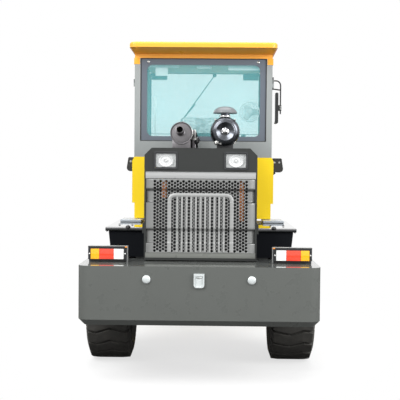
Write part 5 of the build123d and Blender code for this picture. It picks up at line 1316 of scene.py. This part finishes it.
def mirror_fittings():
    """The left post's bare bracket, the right mirror's face and the bolts of its clamp and bracket."""
    x, y = -mirror_low.x, mirror_low.y
    bracket = Mesh().box((x - 0.086, y - 0.002, 2.520), (x + 0.001, y + 0.040, 2.649), 0.006, 3)
    for z in (2.560, 2.612):
        bracket.bolt((x - 0.045, y - 0.002, z), REAR, 0.008)
    bracket.make("left_mirror_bracket", LAMP_HOUSING, slot="black_plastic", sharp=40)
    matrix = frame_at((mirror_high.x - 0.0665, y + 0.085, 2.3105), (-1, 0, 0), FRONT)
    face = Mesh().prism(round_rect(0.140, 0.298, 0.020, 6), 0.0018, matrix)
    face.make("mirror_glass", MIRROR_FACE)
    bolts = Mesh()
    for z in (2.300, 2.322):
        bolts.bolt((mirror_high.x - 0.010, y + 0.008, z), REAR, 0.006)
    for z in (2.530, 2.600):
        bolts.bolt((mirror_low.x + 0.045, y + 0.0045, z), REAR, 0.007)
    bolts.make("mirror_clamp_bolts", ZINC)


for label, side in SIDES:
    fender_fittings(label, side)
mirror_fittings()

# ---------------------------------------------------------------- lamps of the front

LAMP_SCREW = ((0.004, 0), (0.004, 0.0015), (0.002, 0.003), (0, 0.003))


def square_lamp(name, body, at, size):
    """A lamp's bezel, lens and four screws on a housing's front; size is the bezel's width and height."""
    matrix = frame_at(at, FRONT, RIGHT)
    inner = [side - 0.018 for side in size]
    bezel = Mesh().plate(round_rect(*size, 0.014), round_rect(*inner, 0.010), 0.008, matrix)
    bezel.make(f"{name}_bezel", LAMP_HOUSING, body=body, sharp=40, bevel=0.0015)
    outline = round_rect(inner[0] + 0.002, inner[1] + 0.002, 0.010)
    face = Mesh().prism(outline, 0.004, matrix @ Matrix.Translation((0, 0, 0.001)), 0.0015, 1)
    face.make(f"{name}_lens", CLEAR_LENS, body=body)
    screws = Mesh()
    for sx, sy in CORNERS:
        spot = matrix @ Vector((sx * (size[0] / 2 - 0.008), sy * (size[1] / 2 - 0.008), 0.008))
        screws.lathe(LAMP_SCREW, frame_at(spot, FRONT), 12)
    screws.make(f"{name}_screws", ZINC, body=body)


roof_low, roof_high = low_of("roof_lamps"), high_of("roof_lamps")
head_low, head_high = low_of("head_lamps"), high_of("head_lamps")
for label, side in SIDES:
    at = (side * (roof_high.x - 0.080), roof_high.y - 0.0005, roof_low.z + 0.045)
    square_lamp(f"roof_lamp_{label}", "rear_frame", at, (0.146, 0.078))
    x, z = side * (head_high.x - 0.069), head_high.z - 0.084
    square_lamp(f"head_lamp_{label}", "front_frame", (x, head_high.y - 0.0005, z), (0.104, 0.096))
    bolts = Mesh()
    for shift in (-0.026, 0.026):
        bolts.bolt((x + shift, head_low.y, z + 0.038), REAR, 0.009)
    bolts.make(f"head_lamp_bolts_{label}", ZINC, body="front_frame")

# ---------------------------------------------------------------- windshield, doors, rails, caps and steps

SHIELD_LOW, SHIELD_HIGH = low_of("windshield"), high_of("windshield")
DOOR_FACE = 0.628
RAIL_HEIGHTS = (1.400, 1.720)
TANK_CAP = (
    (0, 0), (0.046, 0), (0.046, 0.012), (0.052, 0.014), (0.052, 0.032), (0.045, 0.040), (0.030, 0.041),
    (0.028, 0.036), (0, 0.036),
)
TREAD = ((0.010, 0), (0.009, 0.005), (0.0065, 0.007), (0.005, 0.003))


def windshield_fittings():
    """The wiper and the seal round the pane."""
    pivot = Vector((0.10, SHIELD_HIGH.y + 0.012, SHIELD_HIGH.z - 0.030))
    tip = pivot + Vector((-0.330, 0.004, -0.460))
    profile = ((0, 0), (0.020, 0), (0.020, 0.010), (0.012, 0.018), (0, 0.018))
    wiper = Mesh().lathe(profile, frame_at(pivot - 0.012 * FRONT, FRONT), 20)
    wiper.tube(rounded([pivot, pivot.lerp(tip, 0.3) + 0.012 * FRONT, tip], 0.05), 0.005, 10)
    wiper.tube([tip + Vector((0.130, -0.004, 0.160)), tip + Vector((-0.105, -0.004, -0.130))], 0.006, 8)
    wiper.make("windshield_wiper", BLACK_PLASTIC)
    wide, tall = 2 * SHIELD_HIGH.x, SHIELD_HIGH.z - SHIELD_LOW.z
    outer, inner = (round_rect(wide - less, tall - less, 0.03, 6) for less in (0.002, 0.034))
    middle = (0, SHIELD_HIGH.y - 0.001, (SHIELD_HIGH.z + SHIELD_LOW.z) / 2)
    seal = Mesh().plate(outer, inner, 0.006, frame_at(middle, FRONT, RIGHT))
    seal.make("windshield_seal", SEAL, sharp=40)


def door_fittings(label, side):
    """A door's handle on its plate, and the seal round its glass."""
    door = f"door_{label}"
    y = high_of(door).y - 0.075
    handle = Mesh()
    low, high = (side * DOOR_FACE - 0.004, y - 0.034, 1.790), (side * DOOR_FACE + 0.004, y + 0.034, 1.820)
    handle.box(low, high, 0.003)
    start = Vector((side * (DOOR_FACE + 0.002), y - 0.010, 1.700))
    reach, rise = side * 0.026 * RIGHT, 0.110 * UP
    handle.tube(rounded([start, start + reach, start + reach + rise, start + rise], 0.018), 0.008, 12)
    handle.make(f"door_handle_{label}", BLACK_PLASTIC, body=door)
    low, high = low_of(f"{door}_glass"), high_of(f"{door}_glass")
    face = max(abs(low.x), abs(high.x))
    middle = (side * (face + 0.0002), (low.y + high.y) / 2, (low.z + high.z) / 2)
    wide, tall = high.y - low.y, high.z - low.z
    outer, inner = (round_rect(wide - less, tall - less, 0.02) for less in (0, 0.030))
    seal = Mesh().plate(outer, inner, 0.005, frame_at(middle, (side, 0, 0), FRONT))
    seal.make(f"door_glass_seal_{label}", SEAL, body=door, sharp=40)


def hand_rail(label, side):
    y = high_of("cab_base").y - 0.030
    low, high = RAIL_HEIGHTS
    points = ((side * 0.631, y, low), (side * 0.668, y, low), (side * 0.668, y, high),
              (side * 0.631, y, high))
    rail = Mesh().tube(rounded(points, 0.03), 0.011, 14)
    for z in RAIL_HEIGHTS:
        profile = ((0, 0), (0.022, 0), (0.022, 0.004), (0.012, 0.006), (0, 0.006))
        rail.lathe(profile, frame_at((side * 0.630, y, z), (side, 0, 0)), 20)
    rail.make(f"hand_rail_{label}", BLACK_PLASTIC)


def tank_cap(label, side):
    low, high = low_of("side_tanks"), high_of("side_tanks")
    x, y, z = side * (high.x - 0.120), low.y + 0.130, high.z
    cap = Mesh().lathe(TANK_CAP, frame_at((x, y, z), UP), 40)
    cap.box((x - 0.030, y - 0.005, z + 0.036), (x + 0.030, y + 0.005, z + 0.050), 0.003)
    cap.make(f"tank_cap_{label}", BLACK_PLASTIC if side < 0 else CHROME, slot="black_plastic", sharp=40)


def step_treads(label, side):
    """Rows of pressed holes with raised edges on both steps of one side."""
    low, high = low_of("cab_steps"), high_of("cab_steps")
    treads = Mesh()
    for z in (low.z + 0.022, high.z):
        for row in range(4):
            for hole in range(9):
                spot = (side * (high.x - 0.040 - 0.028 * row), low.y + 0.040 + 0.040 * hole, z)
                treads.lathe(TREAD, frame_at(spot, UP), 12)
    treads.make(f"step_treads_{label}", BLACK_PLASTIC, sharp=40)


windshield_fittings()
for label, side in SIDES:
    for fitting in (door_fittings, hand_rail, tank_cap, step_treads):
        fitting(label, side)

# ---------------------------------------------------------------- wheels

WHEEL_HUB = (
    (0.1335, 0.0455), (0.130, 0.050), (0.104, 0.052), (0.100, 0.058), (0.098, 0.092), (0.090, 0.100),
    (0.060, 0.102), (0.056, 0.106), (0.030, 0.108), (0, 0.108),
)
LOCK_RING = (
    (0.219, 0.104), (0.2335, 0.107), (0.2420, 0.112), (0.2425, 0.117), (0.2370, 0.121), (0.2300, 0.1205),
    (0.2230, 0.114), (0.219, 0.104),
)
STUD = ((0.0065, 0), (0.0065, 0.022), (0.005, 0.024), (0, 0.024))
WALL_RINGS = ((0.262, 0.128, 0.0035), (0.300, 0.156, 0.0028), (0.352, 0.1845, 0.003))
VALVE_TURN = 1.2


def wheel_fittings(wheel, side):
    """A wheel's hub, nuts, lock ring, valve and the rings on its tyre's walls."""
    body = f"wheel_{wheel}"
    out = side * RIGHT
    axis = frame_at(centre(f"tyre_{wheel}"), out, FRONT)
    hub = Mesh().lathe(WHEEL_HUB, axis)
    for point in circle(0.076, 0.101, 6, 0.5):
        hub.bolt(axis @ point, out, 0.0075)
    hub.make(f"hub_{wheel}", DARK, body=body, sharp=40)
    nuts = Mesh()
    for point in circle(0.118, 0.0495, 10):
        nuts.bolt(axis @ point, out, 0.013).lathe(STUD, frame_at(axis @ point, out), 12)
    nuts.make(f"wheel_nuts_{wheel}", ZINC, body=body, sharp=40)
    Mesh().lathe(LOCK_RING, axis, 72).make(f"lock_ring_{wheel}", RIM_PAINT, body=body, sharp=40)
    foot = axis @ Vector((0.205 * cos(VALVE_TURN), 0.205 * sin(VALVE_TURN), 0.030))
    tip = foot + out * 0.062 + Vector((0, 0.008 * cos(VALVE_TURN), 0.008))
    Mesh().tube([foot, foot + out * 0.030, tip], 0.005, 10).make(f"tyre_valve_{wheel}", CHROME, body=body)
    walls = Mesh()
    for face in (1, -1):
        for radius, height, bar in WALL_RINGS:
            walls.hoop(axis, radius, face * height, bar, 72, 6)
    walls.make(f"tyre_rings_{wheel}", TYRE, body=body, sharp=60)


for end in ("front", "rear"):
    for label, side in SIDES:
        wheel_fittings(f"{end}_{label}", side)

# ---------------------------------------------------------------- linkage: pin caps

RECORD_JOINTS = frame["record"]["behaviour"]["joints"]
JOINTS = {joint["name"]: Vector(joint["pos_m"]) for joint in RECORD_JOINTS if "pos_m" in joint}
NIPPLE = ((0.005, 0.009), (0.005, 0.016), (0.003, 0.017), (0.0035, 0.021), (0.0015, 0.024), (0, 0.024))


def pin_caps(name, body, *places):
    """Both ends of some pins, dished and with a nipple; a place is a joint, an X and a radius."""
    caps = Mesh()
    for side in (-1, 1):
        for joint, x, radius in places:
            matrix = frame_at((side * x, JOINTS[joint].y, JOINTS[joint].z), side * RIGHT, FRONT)
            dish = ((radius - 0.004, 0.012), (radius * 0.35, 0.012), (radius * 0.3, 0.009), (0, 0.009))
            caps.lathe(((0, 0), (radius, 0), (radius, 0.008), *dish), matrix, 36)
            caps.lathe(NIPPLE, matrix, 12)
    caps.make(name, ZINC, body=body, sharp=40)


tower_out = high_of("front_chassis").x
pin_caps("tower_pin_caps", "front_frame", ("boom_lift", tower_out, 0.038),
         ("lift_barrel_pivot", tower_out, 0.032))
pin_caps("bucket_pin_caps", "bucket", ("bucket_tilt", 0.440, 0.036), ("link_pivot", 0.054, 0.030))
pin_caps("crank_pin_caps", "boom", ("bell_crank_pivot", 0.096, 0.040))
pin_y = JOINTS["articulation"].y
profile = ((0, 0), (0.060, 0), (0.060, 0.006), (0.050, 0.010), (0, 0.010))
centre_cap = Mesh().lathe(profile, frame_at((0, pin_y, 0.915), UP), 40)
for point in circle(0.045, 0.925, 4, 0.5):
    centre_cap.bolt(point + pin_y * FRONT, UP, 0.008)
centre_cap.make("centre_pin_cap", ZINC, body="front_frame", sharp=40)

# ---------------------------------------------------------------- floor, light and camera

GROUND = 14.0
SHADOW = 0.30  # how strongly the shadow shows close to the machine
FADE = (0.90, 1.12)  # where the floor runs out into the white backdrop, as shares of its reach
REACH = (1.7, 3.0)  # how far the shaded floor reaches, across and along the machine


def pale_floor():
    """A plain pale floor that keeps the machine's shadow and fades to white away from it."""
    bm = bmesh.new()
    bmesh.ops.create_grid(bm, x_segments=2, y_segments=2, size=GROUND)
    mesh = bpy.data.meshes.new("floor")
    bm.to_mesh(mesh)
    bm.free()
    floor = bpy.data.objects.new("floor", mesh)
    bpy.context.scene.collection.objects.link(floor)
    graph = Graph("floor")
    graph.set(Base_Color=graph.mix(graph.noise(0.6, 3.0), (0.83, 0.83, 0.83), (0.87, 0.87, 0.87)),
              Roughness=0.9)
    white = graph.node("ShaderNodeEmission", Color=(1, 1, 1), Strength=1.0)
    dull = graph.node("ShaderNodeBsdfDiffuse", Color=(0.07, 0.07, 0.07))
    near = graph.maths("MULTIPLY", graph.place, (1 / REACH[0], 1 / REACH[1], 0), "ShaderNodeVectorMath")
    away = graph.maths("LENGTH", near.outputs[0], (0, 0, 0), "ShaderNodeVectorMath").outputs["Value"]
    path = graph.node("ShaderNodeLightPath").outputs
    indirect = graph.maths("MAXIMUM", path["Is Diffuse Ray"], path["Is Glossy Ray"]).outputs[0]
    surface = graph.shader.outputs[0]
    for share, other in ((graph.spread(away, *FADE, 1 - SHADOW, 1.0), white), (indirect, dull)):
        blend = graph.node("ShaderNodeMixShader")
        for value, socket in zip((share, surface, other.outputs[0]), blend.inputs):
            graph.put(value, socket)
        surface = blend.outputs[0]
    graph.put(surface, graph.tree.nodes["Material Output"].inputs["Surface"])
    mesh.materials.append(graph.material)


def studio_world(light):
    """An even white sky that lights at the given strength and is seen as plain white."""
    world = bpy.data.worlds.new("studio")
    bpy.context.scene.world = world
    world.use_nodes = True
    nodes, links = world.node_tree.nodes, world.node_tree.links
    path = nodes.new("ShaderNodeLightPath").outputs
    seen_by = path["Is Camera Ray"]
    for kind in ("Is Glossy Ray", "Is Transmission Ray"):
        either = nodes.new("ShaderNodeMath")
        either.operation = "MAXIMUM"
        links.new(seen_by, either.inputs[0])
        links.new(path[kind], either.inputs[1])
        seen_by = either.outputs[0]
    choice = nodes.new("ShaderNodeMixShader")
    links.new(seen_by, choice.inputs[0])
    for background, strength, socket in (
        (nodes["Background"], light, 1), (nodes.new("ShaderNodeBackground"), 1.0, 2)
    ):
        background.inputs["Color"].default_value = (1, 1, 1, 1)
        background.inputs["Strength"].default_value = strength
        links.new(background.outputs[0], choice.inputs[socket])
    links.new(choice.outputs[0], nodes["World Output"].inputs["Surface"])


def soft_light(name, place, target, size, power):
    lamp = bpy.data.lights.new(name, "AREA")
    lamp.shape = "RECTANGLE"
    lamp.size = lamp.size_y = size
    lamp.energy = power
    made = bpy.data.objects.new(name, lamp)
    made.location = place
    made.rotation_euler = (Vector(target) - Vector(place)).to_track_quat("-Z", "Y").to_euler()
    bpy.context.scene.collection.objects.link(made)


pale_floor()
studio_world(0.70)
soft_light("key", (-4.5, -7.0, 6.5), (0, -1.0, 1.2), 5.0, 700)
soft_light("fill", (6.0, -5.5, 4.0), (0, -1.0, 1.2), 4.0, 480)
soft_light("top", (0, 0.5, 8.0), (0, 0, 1), 6.0, 470)

LENS = 84.3
CAMERA_BACK = 7.0  # behind the counterweight's rear face
CAMERA_HEIGHT = 1.655
CAMERA_SIDE = 0.11  # to the right of the middle plane, turned back towards it
CAMERA_DIP, CAMERA_ROLL = 1.83, -0.5  # degrees
lens_data = bpy.data.cameras.new("camera")
lens_data.lens = LENS
lens_data.sensor_width = 36
camera = bpy.data.objects.new("camera", lens_data)
camera.location = (CAMERA_SIDE, low_of("counterweight").y - CAMERA_BACK, CAMERA_HEIGHT)
camera.rotation_euler = (radians(90 - CAMERA_DIP), radians(CAMERA_ROLL), atan2(CAMERA_SIDE, CAMERA_BACK))
scene = bpy.context.scene
scene.collection.objects.link(camera)
scene.camera = camera
scene.view_settings.view_transform = "Standard"
